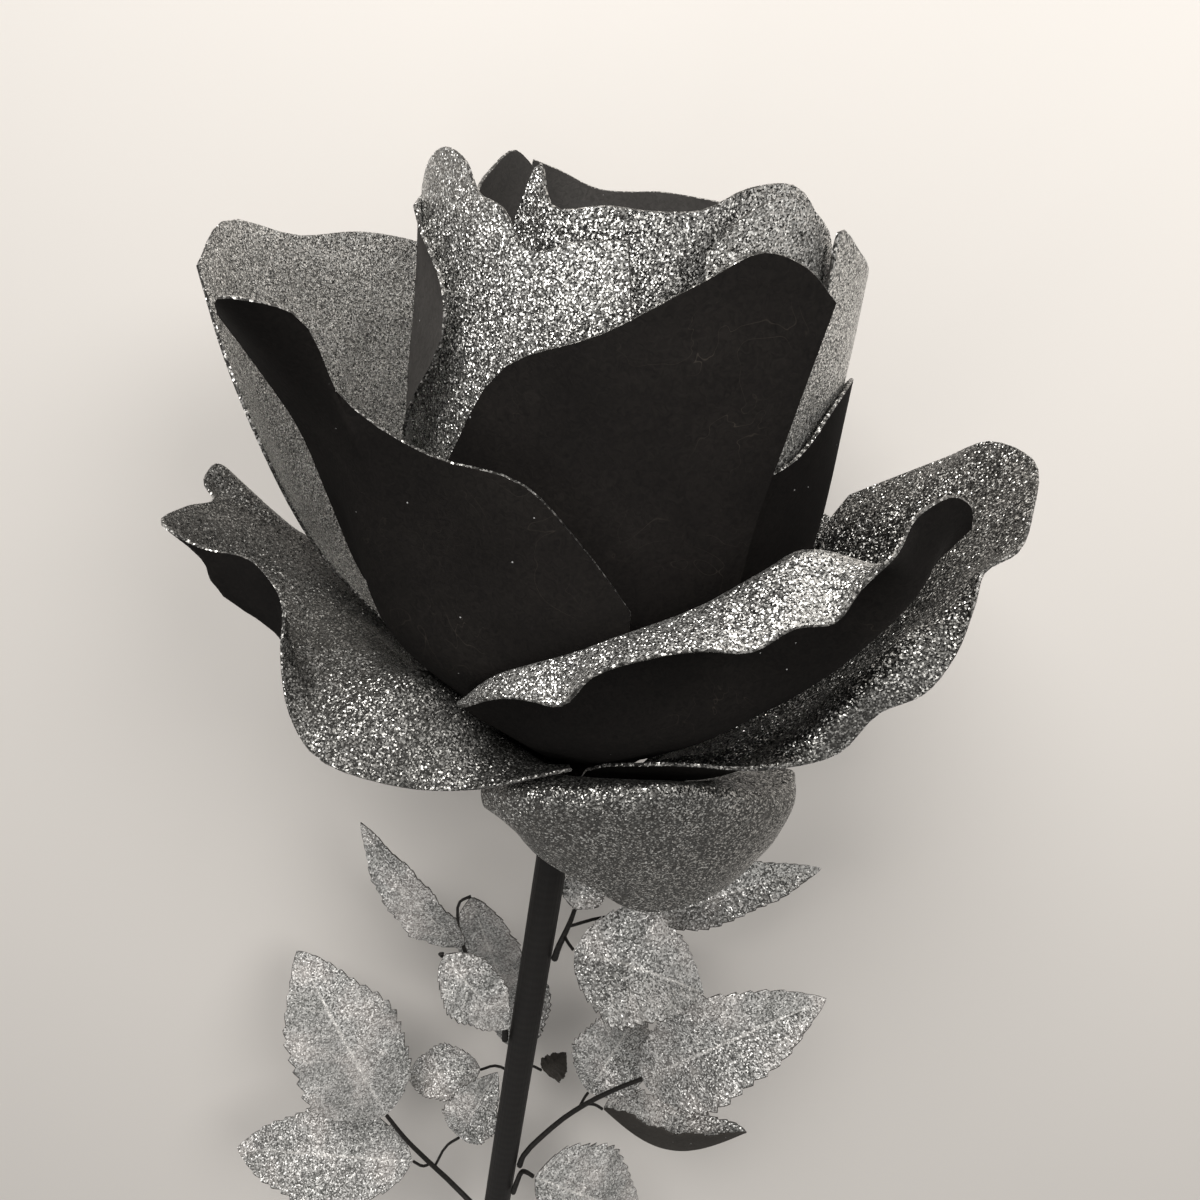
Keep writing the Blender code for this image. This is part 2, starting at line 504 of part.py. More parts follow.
def add_core(finish, frame):
    """The knob at the top of the stem that carries the petals, with a socket for the stem in its foot."""
    shares = (0.0, 0.04, 0.12, 0.25, 0.42, 0.58, 0.70, 0.82, 0.92, 1.0)
    outside = [(core_radius(share), core_height(share)) for share in shares]
    socket = STEM_RADIUS + SEAT_GAP
    inside = [(socket, -CORE_FOOT), (socket, SOCKET_DEPTH - CORE_FOOT), (0, SOCKET_DEPTH - CORE_FOOT)]
    outside[0] = (0, CORE_TOP)
    return turned_solid("petal_core", outside + inside, CORE_SEGMENTS, finish, frame)


def add_stem(finish, frame):
    top = SOCKET_DEPTH - CORE_FOOT - SEAT_GAP
    foot = -STEM_LENGTH
    edge = STEM_RADIUS - STEM_CHAMFER
    profile = [
        (0, top), (edge, top), (STEM_RADIUS, top - STEM_CHAMFER),
        (STEM_RADIUS, foot + STEM_CHAMFER), (edge, foot), (0, foot),
    ]
    return turned_solid("stem", profile, STEM_SEGMENTS, finish, frame)


def tube(name, route, radii, finish, frame):
    """A closed round tube along the route, its radius running from the first of radii to the second."""
    route = [Vector(point) for point in route]
    shape = bmesh.new()
    rings = []
    side = (route[1] - route[0]).orthogonal().normalized()
    for place, point in enumerate(route):
        ahead = route[min(place + 1, len(route) - 1)] - route[max(place - 1, 0)]
        ahead.normalize()
        side = (side - ahead * side.dot(ahead)).normalized()
        over = ahead.cross(side)
        radius = radii[0] + (radii[1] - radii[0]) * place / (len(route) - 1)
        ring = []
        for step in range(WIRE_SEGMENTS):
            angle = math.tau * step / WIRE_SEGMENTS
            ring.append(shape.verts.new(point + radius * (side * math.cos(angle) + over * math.sin(angle))))
        rings.append(ring)
    for low, high in zip(rings, rings[1:]):
        for step in range(WIRE_SEGMENTS):
            after = (step + 1) % WIRE_SEGMENTS
            shape.faces.new((low[step], low[after], high[after], high[step]))
    shape.faces.new(rings[0][::-1])
    shape.faces.new(rings[-1])
    bmesh.ops.recalc_face_normals(shape, faces=shape.faces)
    mesh = bpy.data.meshes.new(name)
    shape.to_mesh(mesh)
    shape.free()
    mesh.shade_smooth()
    mesh.set_sharp_from_angle(angle=math.radians(50))
    return add_object(name, mesh, (finish,), frame)


def add_spray(name, turn, height, wire, stalks, leaves, wire_finish, upper, under, frame):
    """A spray: its wire, from the stem to its end leaf, the side stalks joined to it, and its leaves."""
    reach = STEM_RADIUS + SEAT_GAP + 1.6 * WIRE_RADIUS
    root = on_ring(turn, reach, height * MILLIMETRE)
    away = on_ring(turn, reach + WIRE_RADIUS, (height + WIRE_RISE) * MILLIMETRE)
    route = np.vstack([root, away, np.array(wire) * MILLIMETRE])
    route = smooth_through(route, [3] * (len(route) - 1))
    main = tube(f"{name}_wire", route, (1.6 * WIRE_RADIUS, WIRE_RADIUS), wire_finish, frame)
    ends = [(route[-1], route[-1] - route[-2], WIRE_RADIUS)]
    for number, stalk in enumerate(stalks, 1):
        side_route = smooth_through(np.array(stalk) * MILLIMETRE, [3] * (len(stalk) - 1))
        ends.append((side_route[-1], side_route[-1] - side_route[-2], STALK_RADIUS))
        side = tube(f"{name}_stalk_{number}", side_route, (STALK_RADIUS, STALK_RADIUS), wire_finish, frame)
        side.hide_render = True
        side.display_type = "WIRE"
        union = main.modifiers.new(f"stalk_{number}", "BOOLEAN")
        union.operation = "UNION"
        union.object = side
    made = [main]
    for end, leaf in zip(ends, leaves):
        made.append(add_leaf(*leaf, *end, upper, under, frame))
    return made


def leaf_grid(length, width, arch, slope):
    """A toothed leaf along +Y from its foot, its two halves sloping up from the midrib."""
    rows = 2 * LEAF_TEETH + 1
    grid = np.zeros((3, rows, 3))
    for row in range(rows):
        along = row / (rows - 1)
        full = math.sin(math.pi * along**0.8) ** 0.8 if 0 < along < 1 else 0
        half = max(width / 2 * full * (1 - LEAF_TOOTH * (row % 2)), LEAF_FOOT_WIDTH / 2)
        rise = arch * math.sin(math.pi * along)
        for column, side in enumerate((-1, 0, 1)):
            forward = length * (along - 0.02 * abs(side) * full)
            flat = half / math.hypot(1, slope)
            grid[column, row] = (side * flat, forward, rise + slope * abs(side) * flat)
    return grid


def add_leaf(name, tip, width, turn, arch, slope, end, onward, radius, upper, under, frame):
    """A leaf from a wire's end to its tip, a small gap off the wire."""
    end, tip, onward = Vector(end), Vector(tip) * MILLIMETRE, Vector(onward).normalized()
    ahead = (tip - end).normalized()
    face = Vector(LEAF_FACES)
    face = (face - ahead * face.dot(ahead)).normalized()
    face = Matrix.Rotation(math.radians(turn), 3, ahead) @ face
    clear = SEAT_GAP + 1.2 * radius * math.sqrt(max(0, 1 - onward.dot(ahead) ** 2))
    reach = (tip - end).length - clear
    grid = leaf_grid(reach, width * MILLIMETRE, arch * MILLIMETRE, slope)
    leaf = sheet_object(name, grid, LEAF_THICKNESS, upper, under, frame)
    side = ahead.cross(face)
    leaf.rotation_euler = Matrix((side, ahead, face)).transposed().to_euler()
    leaf.location = end + ahead * clear
    return leaf


def world_points(objects, frame):
    """Every corner of the objects in the upright frame."""
    bpy.context.view_layer.update()
    graph = bpy.context.evaluated_depsgraph_get()
    found = []
    for thing in objects:
        shown = thing.evaluated_get(graph)
        place = np.array(frame.matrix_world.inverted() @ thing.matrix_world)
        corners = np.array([corner.co for corner in shown.data.vertices])
        found.append(corners @ place[:3, :3].T + place[:3, 3])
    return np.vstack(found)


def lie_down(frame, points):
    """Turns the flower onto its back, so that it lies on the foot of its stem and on two petals."""
    foot = points[np.abs(points[:, 2] + STEM_LENGTH - STEM_CHAMFER) < STEM_CHAMFER / 2]
    best = None
    for roll in np.radians(np.arange(-12, 12.01, 0.25)):
        turned = points @ np.array(Matrix.Rotation(roll, 3, "Z")).T
        ring = foot @ np.array(Matrix.Rotation(roll, 3, "Z")).T
        heel = ring[np.argmax(ring[:, 1])]
        head = turned[turned[:, 2] > -STEM_LENGTH / 4]
        slope = np.max((head[:, 1] - heel[1]) / (head[:, 2] - heel[2]))
        if best is None or slope < best[0]:
            best = (slope, roll)
    slope, roll = best
    tilt = math.atan(slope)
    onto_back = Matrix.Rotation(-math.pi / 2 + tilt, 3, "X")
    laid = onto_back @ Matrix.Rotation(roll, 3, "Z")
    frame.rotation_euler = laid.to_euler()
    resting = points @ np.array(laid).T
    middle = (resting.min(axis=0) + resting.max(axis=0)) / 2
    frame.location = (-middle[0], -middle[1], -resting[:, 2].min())


def build():
    clear_scene()
    glitter = material("silver_glitter", (0.32, 0.32, 0.32), 0.35, 0.7)
    black = material("black_sheet", (0.012, 0.011, 0.011), 0.8, 0.0)
    leaf_top = material("leaf_glitter", (0.45, 0.44, 0.42), 0.4, 0.6)
    leaf_back = material("leaf_underside", (0.03, 0.03, 0.03), 0.7, 0.0)
    stem_finish = material("stem_wrap", (0.02, 0.018, 0.017), 0.55, 0.0)
    wire_finish = material("wire_wrap", (0.018, 0.016, 0.015), 0.6, 0.0)
    core_finish = material("core_board", (0.03, 0.03, 0.03), 0.8, 0.0)
    frame = bpy.data.objects.new("rose_frame", None)
    bpy.context.scene.collection.objects.link(frame)
    pieces = add_petals(glitter, black, frame)
    pieces.append(add_core(core_finish, frame))
    pieces.append(add_stem(stem_finish, frame))
    for spray in SPRAYS:
        pieces += add_spray(*spray, wire_finish, leaf_top, leaf_back, frame)
    lie_down(frame, world_points(pieces, frame))


build()
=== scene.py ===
# %% [markdown]
# # A giant display rose, cut from glittered sheet
#
# The rose is taken to be about a metre long, because the photograph cuts off its stem. Its petals and leaves
# look cut from a thin sheet that has coarse silver glitter on one face and plain matte black on the other.
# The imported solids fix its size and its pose. This lesson dresses them: smooth petals, toothed leaves
# with veins, a glitter finish made of single flakes, a soft studio, and a camera at the photograph's angle.

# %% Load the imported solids
import math

import bpy
import numpy as np
from mathutils import Matrix, Vector, noise
from mathutils.bvhtree import BVHTree


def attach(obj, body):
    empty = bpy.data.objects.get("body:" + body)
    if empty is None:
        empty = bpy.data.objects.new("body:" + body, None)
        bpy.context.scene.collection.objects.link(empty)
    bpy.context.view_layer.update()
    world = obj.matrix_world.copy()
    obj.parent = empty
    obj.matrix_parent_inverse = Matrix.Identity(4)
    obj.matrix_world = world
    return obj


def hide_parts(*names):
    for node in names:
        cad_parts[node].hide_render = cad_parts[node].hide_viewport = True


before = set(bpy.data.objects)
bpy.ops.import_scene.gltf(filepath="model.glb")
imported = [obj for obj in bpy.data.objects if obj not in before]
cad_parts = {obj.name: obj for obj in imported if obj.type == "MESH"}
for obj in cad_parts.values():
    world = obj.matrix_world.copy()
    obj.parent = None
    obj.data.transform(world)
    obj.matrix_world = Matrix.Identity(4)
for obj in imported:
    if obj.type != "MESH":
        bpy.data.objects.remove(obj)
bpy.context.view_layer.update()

# %% [markdown]
# ## The sizes that everything follows
#
# The petals are drawn as the flower stands: its origin is at the foot of the petals, +Z runs up the stem to
# the bud, +X is to the right, and -Y is the front. A petal's place is then easy to think about, as how far
# round it is, how far out and how high. The numbers are the same ones that the solids were made from.

# %% The rose's sizes, in metres
HEAD_RADIUS = 0.165
HEAD_HEIGHT = 0.240
PETAL_THICKNESS = 0.0012
SEAT_GAP = 0.0004
NEST_GAP = 0.0010
CORE_RADIUS = 0.024
CORE_TOP = 0.030
CORE_FOOT = 0.036
STEM_RADIUS = 0.0075
WIRE_RADIUS = 0.0011
STALK_RADIUS = 0.0008
LEAF_THICKNESS = 0.0007
PETAL_ROWS = 8
DEGREES_PER_COLUMN = 10.5
SEAT_LEVELS = {"heart": 0.10, "inner": 0.21, "bud": 0.32, "guard": 0.44, "spread": 0.58, "lowest": 0.70}
SEAT_NARROWING = 0.42
NEST_CENTRE = 0.46
print("100 percent of the radius is", HEAD_RADIUS, "m, and of the height", HEAD_HEIGHT, "m")

# %% [markdown]
# ## The petals' outlines
#
# Each real petal looks like a flat cut-out that was bent to shape, so no two are alike and none is
# symmetrical. A single petal copied round the stem would never look like that. Here each petal is a loft
# through ribs. A rib runs from the petal's foot to its rim, and each of its points is (degrees round from
# the front, percent of the head's radius, percent of the head's height). The petals come in the order in
# which they are glued on.

# %% The ribs of the nineteen petals
PETALS = (
    ("heart_petal", "heart", (
        ((-160, 9, 28), (-160, 9, 50), (-160, 9, 74)),
        ((-90, 10, 28), (-90, 12, 50), (-90, 12, 77)),
        ((-20, 11, 28), (-20, 15, 50), (-20, 16, 78)),
        ((50, 13, 28), (50, 18, 50), (50, 19, 77)),
        ((120, 14, 28), (120, 21, 50), (120, 22, 75)),
        ((190, 16, 28), (190, 24, 50), (190, 25, 72)),
        ((250, 17, 28), (250, 26, 50), (250, 27, 68)),
    )),
    ("inner_left_petal", "inner", (
        ((-58, 24, 22), (-58, 35, 52), (-58, 34, 84)),
        ((-74, 24, 22), (-74, 36, 52), (-75, 36, 88)),
        ((-92, 24, 22), (-90, 36, 52), (-91, 37, 91)),
        ((-108, 24, 22), (-108, 36, 52), (-107, 38, 94)),
        ((-122, 24, 22), (-122, 36, 52), (-121, 38, 97)),
        ((-136, 24, 22), (-136, 36, 52), (-132, 37, 94)),
    )),
    ("inner_back_petal", "inner", (
        ((62, 24, 22), (62, 35, 52), (62, 34, 90)),
        ((95, 24, 22), (95, 35, 52), (95, 35, 93)),
        ((126, 24, 22), (126, 36, 52), (126, 37, 94)),
        ((154, 24, 22), (154, 37, 52), (154, 38, 94)),
        ((180, 24, 22), (180, 38, 52), (180, 38, 94)),
        ((202, 24, 22), (202, 38, 52), (202, 38, 93)),
        ((216, 24, 22), (216, 38, 52), (218, 39, 95)),
        ((226, 24, 22), (228, 38, 52), (229, 39, 96)),
    )),
    ("inner_front_petal", "inner", (
        ((-40, 25, 22), (-42, 38, 52), (-36, 40, 91)),
        ((-32, 25, 22), (-36, 39, 52), (-30, 40, 97)),
        ((-22, 25, 22), (-27, 39, 52), (-25, 41, 93)),
        ((-8, 25, 22), (-10, 39, 52), (-10, 42, 94)),
        ((9, 25, 22), (10, 39, 52), (10, 42, 95)),
        ((20, 25, 22), (23, 39, 52), (21, 41, 98)),
        ((32, 25, 22), (37, 39, 52), (33, 41, 99)),
        ((44, 25, 22), (52, 38, 52), (48, 40, 95)),
    )),
    ("bud_back_petal", "bud", (
        ((84, 27, 20), (86, 40, 50), (86, 41, 82)),
        ((114, 27, 20), (116, 41, 50), (116, 43, 90)),
        ((146, 27, 20), (148, 41, 50), (148, 44, 91)),
        ((178, 27, 20), (180, 41, 50), (180, 43, 90)),
        ((206, 27, 20), (208, 40, 50), (208, 42, 84)),
    )),
    ("bud_left_petal", "bud", (
        ((-58, 28, 20), (-62, 44, 46), (-53, 52, 62), (-40, 52, 80), (-57, 51, 90)),
        ((-54, 28, 20), (-61, 43, 46), (-65, 47, 62), (-58, 49, 80), (-64, 48, 91)),
        ((-49, 28, 20), (-55, 43, 46), (-58, 46, 62), (-53, 48, 80), (-59, 48, 95)),
        ((-43, 28, 20), (-48, 43, 46), (-50, 46, 62), (-47, 47, 80), (-51, 48, 97)),
        ((-37, 28, 20), (-41, 43, 46), (-43, 46, 62), (-41, 47, 80), (-43, 48, 96)),
        ((-32, 28, 20), (-34, 43, 46), (-35, 46, 62), (-35, 47, 78), (-38, 48, 93)),
        ((-24, 28, 20), (-27, 43, 46), (-27, 46, 62), (-28, 47, 76), (-31, 48, 92)),
        ((-18, 28, 20), (-19, 43, 46), (-20, 46, 62), (-21, 47, 76), (-25, 47, 88)),
        ((-8, 28, 20), (-10, 43, 46), (-11, 46, 62), (-11, 47, 76), (-14, 47, 90)),
        ((2, 28, 20), (2, 43, 46), (2, 46, 62), (1, 47, 76), (-4, 47, 91)),
    )),
    ("bud_right_petal", "bud", (
        ((10, 28, 20), (14, 43, 48), (15, 48, 76), (11, 49, 91)),
        ((17, 28, 20), (20, 43, 48), (21, 48, 76), (18, 49, 96)),
        ((25, 28, 20), (28, 43, 48), (29, 48, 76), (25, 49, 98)),
        ((36, 28, 20), (40, 43, 48), (40, 48, 76), (35, 48, 96)),
        ((47, 28, 20), (52, 43, 48), (52, 45, 76), (48, 44, 91)),
        ((58, 28, 20), (64, 42, 48), (64, 43, 76), (62, 42, 85)),
    )),
    ("bud_side_petal", "bud", (
        ((38, 29, 20), (34, 45, 50), (38, 49, 75), (38, 50, 90)),
        ((46, 29, 20), (44, 45, 50), (44, 48, 75), (38, 50, 95)),
        ((57, 29, 20), (56, 44, 50), (56, 47, 75), (49, 48, 93)),
        ((68, 29, 20), (72, 43, 50), (72, 45, 75), (66, 45, 90)),
        ((80, 29, 20), (88, 43, 50), (88, 44, 75), (82, 43, 86)),
        ((94, 29, 20), (104, 43, 50), (104, 43, 72), (100, 43, 80)),
    )),
    ("guard_right_petal", "guard", (
        ((20, 31, 18), (24, 47, 46), (25, 50, 64)),
        ((38, 31, 18), (42, 47, 46), (41, 50, 68)),
        ((50, 31, 18), (54, 47, 46), (52, 49, 74)),
        ((64, 31, 18), (70, 47, 46), (66, 47, 76)),
        ((78, 31, 18), (86, 46, 46), (84, 46, 74)),
        ((92, 31, 18), (102, 46, 46), (102, 46, 68)),
    )),
    ("guard_back_petal", "guard", (
        ((104, 32, 18), (96, 48, 42), (98, 48, 66)),
        ((124, 32, 18), (120, 50, 42), (121, 53, 78)),
        ((144, 32, 18), (146, 51, 42), (146, 55, 82)),
        ((164, 32, 18), (172, 50, 42), (172, 54, 80)),
        ((182, 32, 18), (196, 49, 42), (195, 51, 72)),
    )),
    ("guard_front_petal", "guard", (
        ((-28, 31, 20), (-35, 51, 42), (-36, 54, 52), (-34, 54, 61)),
        ((-19, 31, 20), (-25, 51, 42), (-26, 54, 58), (-22.1, 54, 75.7)),
        ((-7, 31, 20), (-8, 51, 42), (-9, 54, 64), (-5.6, 54, 81.4)),
        ((5, 31, 20), (7, 51, 42), (7, 54, 66), (10.4, 54, 88.7)),
        ((12, 31, 20), (16, 51, 42), (16, 54, 66), (19.4, 54.5, 92.4)),
        ((19, 31, 20), (24, 51, 42), (25, 54, 66), (27.4, 55, 91.4)),
        ((25, 31, 20), (31, 51, 44), (30, 54, 60), (34.6, 56, 88.1)),
    )),
    ("guard_left_petal", "guard", (
        ((-61, 34, 18), (-60, 57, 39), (-59, 71, 62), (-56, 85, 76)),
        ((-55, 34, 18), (-54, 57, 39), (-52, 70, 64), (-46, 87, 80)),
        ((-48, 34, 18), (-46, 58, 37), (-45, 68, 63), (-43, 79, 79)),
        ((-41, 33, 18), (-38, 58, 36), (-39, 65, 58), (-43, 71, 70)),
        ((-32, 33, 18), (-27, 58, 36), (-27, 61, 54), (-29, 64, 65)),
        ((-22, 33, 18), (-14, 57, 35), (-14, 60, 52), (-13, 61, 64)),
        ((-13, 33, 19), (-3, 57, 34), (-3, 60, 48), (-3, 60, 58)),
        ((-5, 33, 20), (7, 57, 33), (8, 59, 41), (7, 59, 50)),
    )),
    ("left_wing_petal", "guard", (
        ((-76, 38, 18), (-76, 64, 36), (-70, 77, 56), (-80, 90, 77)),
        ((-84, 38, 18), (-87, 64, 36), (-84, 78, 56), (-88, 89, 82)),
        ((-96, 37, 18), (-100, 60, 38), (-100, 72, 58), (-102, 81, 80)),
        ((-108, 36, 18), (-114, 58, 38), (-115, 68, 58), (-113, 75, 81)),
        ((-122, 35, 18), (-130, 56, 38), (-131, 62, 58), (-130, 67, 79)),
        ((-136, 34, 18), (-146, 54, 38), (-148, 58, 56), (-148, 60, 74)),
    )),
    ("front_cup_petal", "spread", (
        ((-9, 29, 12), (-22, 51, 26), (-22, 59, 31), (-19, 64.7, 33.5)),
        ((-5, 30, 12), (-14, 54, 28), (-14.3, 61.5, 38.1), (-11.9, 67, 37.7)),
        ((-2, 30, 12), (-8, 56, 28.5), (-7.2, 63.5, 42.1), (-6.2, 70, 39.9)),
        ((1, 30, 12), (-2, 57, 29), (-1.5, 65, 45.1), (-1.7, 73, 41.3)),
        ((3.5, 30, 12), (3, 57.5, 29), (3.2, 65.5, 47.7), (1.8, 74.5, 46.6)),
        ((6, 30, 12), (8, 58, 29), (8, 66, 50), (7.8, 76, 50.2)),
        ((10, 30, 12), (14, 59, 30.5), (14.5, 67.5, 53.4), (13.4, 79.5, 53.1)),
        ((13, 30, 12), (19, 60, 32), (19.7, 69.5, 57), (18.7, 82, 54.1)),
        ((16, 30, 12), (23, 61, 33), (24, 71.5, 60.4), (22.8, 83, 57.3)),
        ((19, 30, 12), (28, 62, 34.5), (28, 73, 63), (27.3, 84, 58.2)),
        ((21.5, 30, 12), (32, 64, 37), (32, 76.5, 63), (28.6, 85, 62.4)),
        ((24, 30, 12), (37, 66, 40), (36, 80, 62), (31.3, 86, 66.8)),
        ((27, 30, 12), (41, 67, 41), (41, 81, 60), (35, 83.1, 69.7)),
        ((29, 30, 12), (43, 66.5, 42.5), (43, 81, 60), (39, 84, 72)),
        ((31, 29.5, 12), (46, 66, 44), (45, 79, 60), (43, 84.7, 70.6)),
        ((33, 29, 12), (48, 65, 45), (47, 77, 59), (45.5, 84.3, 67.6)),
    )),
    ("left_spread_petal", "spread", (
        ((-76, 32, 10), (-90, 50, 22), (-96, 63, 29), (-95, 76, 31)),
        ((-73, 32, 10), (-86, 51, 23), (-92, 69, 32), (-92, 85, 36.1)),
        ((-71, 32, 10), (-84, 52, 24), (-89, 71, 33), (-90, 88.7, 42.5)),
        ((-69.5, 32, 10), (-81, 53, 24.5), (-87, 72, 33.5), (-88.5, 92.3, 45)),
        ((-68, 32, 10), (-79, 53, 25), (-85, 73, 34), (-86, 93.6, 43.1)),
        ((-66, 32, 10), (-77, 54, 25.5), (-82, 74, 34.5), (-83, 89.8, 41.6)),
        ((-63, 32, 10), (-73, 54.5, 26), (-77, 77, 35), (-76, 92.9, 42.9)),
        ((-59, 32, 10), (-67, 55, 27), (-71, 80, 33.5), (-68, 95.5, 43.8)),
        ((-56, 32, 10), (-62, 56, 27), (-66, 86.5, 36.2), (-65, 88, 41.7)),
        ((-53, 32, 10), (-59, 56, 27), (-62, 79.1, 33.1), (-62, 79.3, 41.1)),
        ((-50, 32, 10), (-56, 55, 27), (-58, 74.4, 30.5), (-59.5, 76.3, 39.3)),
        ((-48, 32, 10.5), (-54, 54, 27), (-55, 72.9, 28.7), (-56, 74.7, 37.3)),
        ((-45, 32, 11), (-51, 53, 27), (-51, 71.5, 26.4), (-52, 76.2, 30.7)),
        ((-41, 32, 11), (-46, 52, 27.5), (-47, 70, 24), (-47, 76.8, 23.7)),
        ((-37, 31, 12), (-41, 50, 28.5), (-42, 67, 24), (-42.5, 75.4, 20)),
        ((-29, 30, 11), (-32, 48, 27), (-33, 60, 24), (-31, 67.9, 17.9)),
        ((-20, 29, 10), (-21, 44, 22.5), (-21, 54, 21.5), (-20, 61.1, 18.4)),
        ((-12, 27.5, 10), (-12, 41, 20), (-13, 49, 21.5), (-13.8, 58, 20.2)),
        ((-6, 26.5, 10), (-5, 38, 18), (-6, 45, 21.5), (-6.3, 54, 22.8)),
        ((0, 26, 10), (1, 36, 17), (1, 42, 21), (1.4, 50, 23.7)),
    )),
    ("right_spread_petal", "spread", (
        ((8, 25, 12), (6, 38, 24), (7, 42, 26), (9, 45, 27.5)),
        ((17, 26, 11.5), (17, 41, 25), (19, 47, 28), (20, 50.5, 30)),
        ((26, 27, 11), (28, 48, 26), (32, 55, 29), (40, 61.1, 29.7)),
        ((34, 28, 10), (38, 50, 22), (44, 66, 31), (47, 70.6, 31.2)),
        ((40, 29, 10), (45, 54, 23), (48, 72, 37), (51, 76.2, 37.6)),
        ((45, 29, 10), (51, 57, 25), (53, 76, 43), (54, 81.6, 41.2)),
        ((50, 30, 10), (56, 58, 27), (57, 78, 48), (57, 83.9, 47)),
        ((55, 30, 10), (61, 59, 29), (61, 79, 51), (60, 83.4, 53.3)),
        ((59, 30, 10), (65, 60, 30), (65, 79, 53), (63, 82.5, 57)),
        ((63, 30, 10), (70, 60, 31), (71, 79, 54.5), (67, 86.8, 59.8)),
        ((68, 30, 10), (76, 59, 32), (78, 77, 55), (73, 87.6, 64)),
        ((73, 30, 10), (83, 57, 32), (87, 73, 55), (83, 87.4, 68.3)),
        ((77, 29, 10), (89, 55, 32), (93, 69, 54), (91, 81.5, 68)),
        ((81, 29, 10), (95, 53, 32), (99, 64, 51), (98, 76.9, 62.7)),
        ((87, 28, 10), (104, 50, 30), (108, 56, 44), (110, 63.5, 51.6)),
    )),
    ("back_left_spread_petal", "spread", (
        ((-114, 28, 8), (-106, 50, 15), (-104, 62, 22), (-106, 72, 30)),
        ((-128, 28, 8), (-124, 54, 15), (-122, 74, 24), (-122, 87, 36)),
        ((-142, 28, 8), (-142, 56, 15), (-142, 76, 25), (-142, 92, 38)),
        ((-156, 28, 8), (-160, 54, 15), (-162, 74, 24), (-162, 87, 36)),
        ((-169, 28, 8), (-178, 50, 15), (-180, 62, 22), (-178, 72, 30)),
    )),
    ("back_right_spread_petal", "spread", (
        ((116, 28, 8), (108, 50, 15), (106, 62, 22), (108, 72, 30)),
        ((129, 28, 8), (125, 54, 15), (123, 74, 24), (123, 87, 36)),
        ((142, 28, 8), (142, 56, 15), (142, 76, 25), (142, 92, 38)),
        ((155, 28, 8), (159, 54, 15), (161, 74, 24), (161, 87, 36)),
        ((167, 28, 8), (174, 50, 15), (176, 62, 22), (174, 72, 30)),
    )),
    ("hanging_petal", "lowest", (
        ((-12, 22, 5), (-19, 33, 18), (-19, 42, 19.5), (-16, 44.5, 11.5)),
        ((-3, 23, 6), (-8, 36, 23), (-7, 46, 24), (-4, 48.5, 7.5)),
        ((7, 24, 6), (7, 39, 26), (8, 48, 28), (11, 50.5, 3.5)),
        ((18, 24, 6), (20, 41, 27), (22, 50.5, 29.5), (24, 52, -1)),
        ((29, 24, 6), (34, 42, 26), (37, 52, 27), (36, 57, 2)),
        ((39, 23, 6), (47, 40, 24), (50, 53, 23), (47, 58.5, 5)),
        ((47, 22, 5), (58, 38, 19.5), (61, 52, 20), (61, 59, 11)),
    )),
)

# The petals whose glitter is on the outside. On the others it is on the inside.
GLITTER_OUTSIDE = (
    "heart_petal", "inner_left_petal", "inner_back_petal", "inner_front_petal",
    "bud_back_petal", "bud_left_petal", "bud_right_petal", "bud_side_petal",
)
# The lowest petals look darker because they lie in shade. That shade is painted in, as a glitter with fewer
# bright flakes.
PAINTED_SHADE_SHEETS = (
    "left_spread_petal", "right_spread_petal", "back_left_spread_petal", "back_right_spread_petal",
    "hanging_petal",
)
print("petals:", len(PETALS), "of them with glitter outside:", len(GLITTER_OUTSIDE))

# %% [markdown]
# ## Smooth lines through a few points
#
# Bent sheet has no corners, so the ribs are joined by smooth curves. A Hermite curve passes exactly through
# every point that it is given, which keeps the fine petals on the solids that they dress. A subdivision
# surface is quicker to add, but it pulls away from its control points and would shrink the petals' tips.

# %% Curves and rings
def smooth_through(points, steps):
    """A smooth curve through all the given points, with so many steps between each point and the next."""
    points = np.asarray(points, float)
    lengths = np.linalg.norm(np.diff(points, axis=0), axis=1)
    at = np.concatenate([[0], np.cumsum(np.maximum(lengths, 1e-6))])
    slopes = np.gradient(points, at, axis=0)
    left = np.repeat(np.arange(len(steps)), steps)
    t = np.concatenate([np.arange(count) / count for count in steps])[:, None]
    span = (at[left + 1] - at[left])[:, None]
    curve = (
        (2 * t**3 - 3 * t**2 + 1) * points[left]
        + (t**3 - 2 * t**2 + t) * span * slopes[left]
        + (3 * t**2 - 2 * t**3) * points[left + 1]
        + (t**3 - t**2) * span * slopes[left + 1]
    )
    return np.vstack([curve, points[-1]])


def on_ring(degrees, radius, height):
    """The point this far round from the front of the flower."""
    angle = np.radians(degrees)
    return np.stack([radius * np.sin(angle), -radius * np.cos(angle), height], axis=-1)


def core_height(share):
    return CORE_TOP - share * (CORE_TOP + CORE_FOOT)


def core_radius(share):
    collar = STEM_RADIUS / CORE_RADIUS + 0.12
    swell = math.sin(math.pi * min(share / 1.16, 1.0)) ** 0.75 if share > 0 else 0
    return CORE_RADIUS * max(swell, collar * (share > 0.8))


print("a quarter turn to the right, 0.1 m out:", on_ring(90, 0.1, 0.0).round(3))

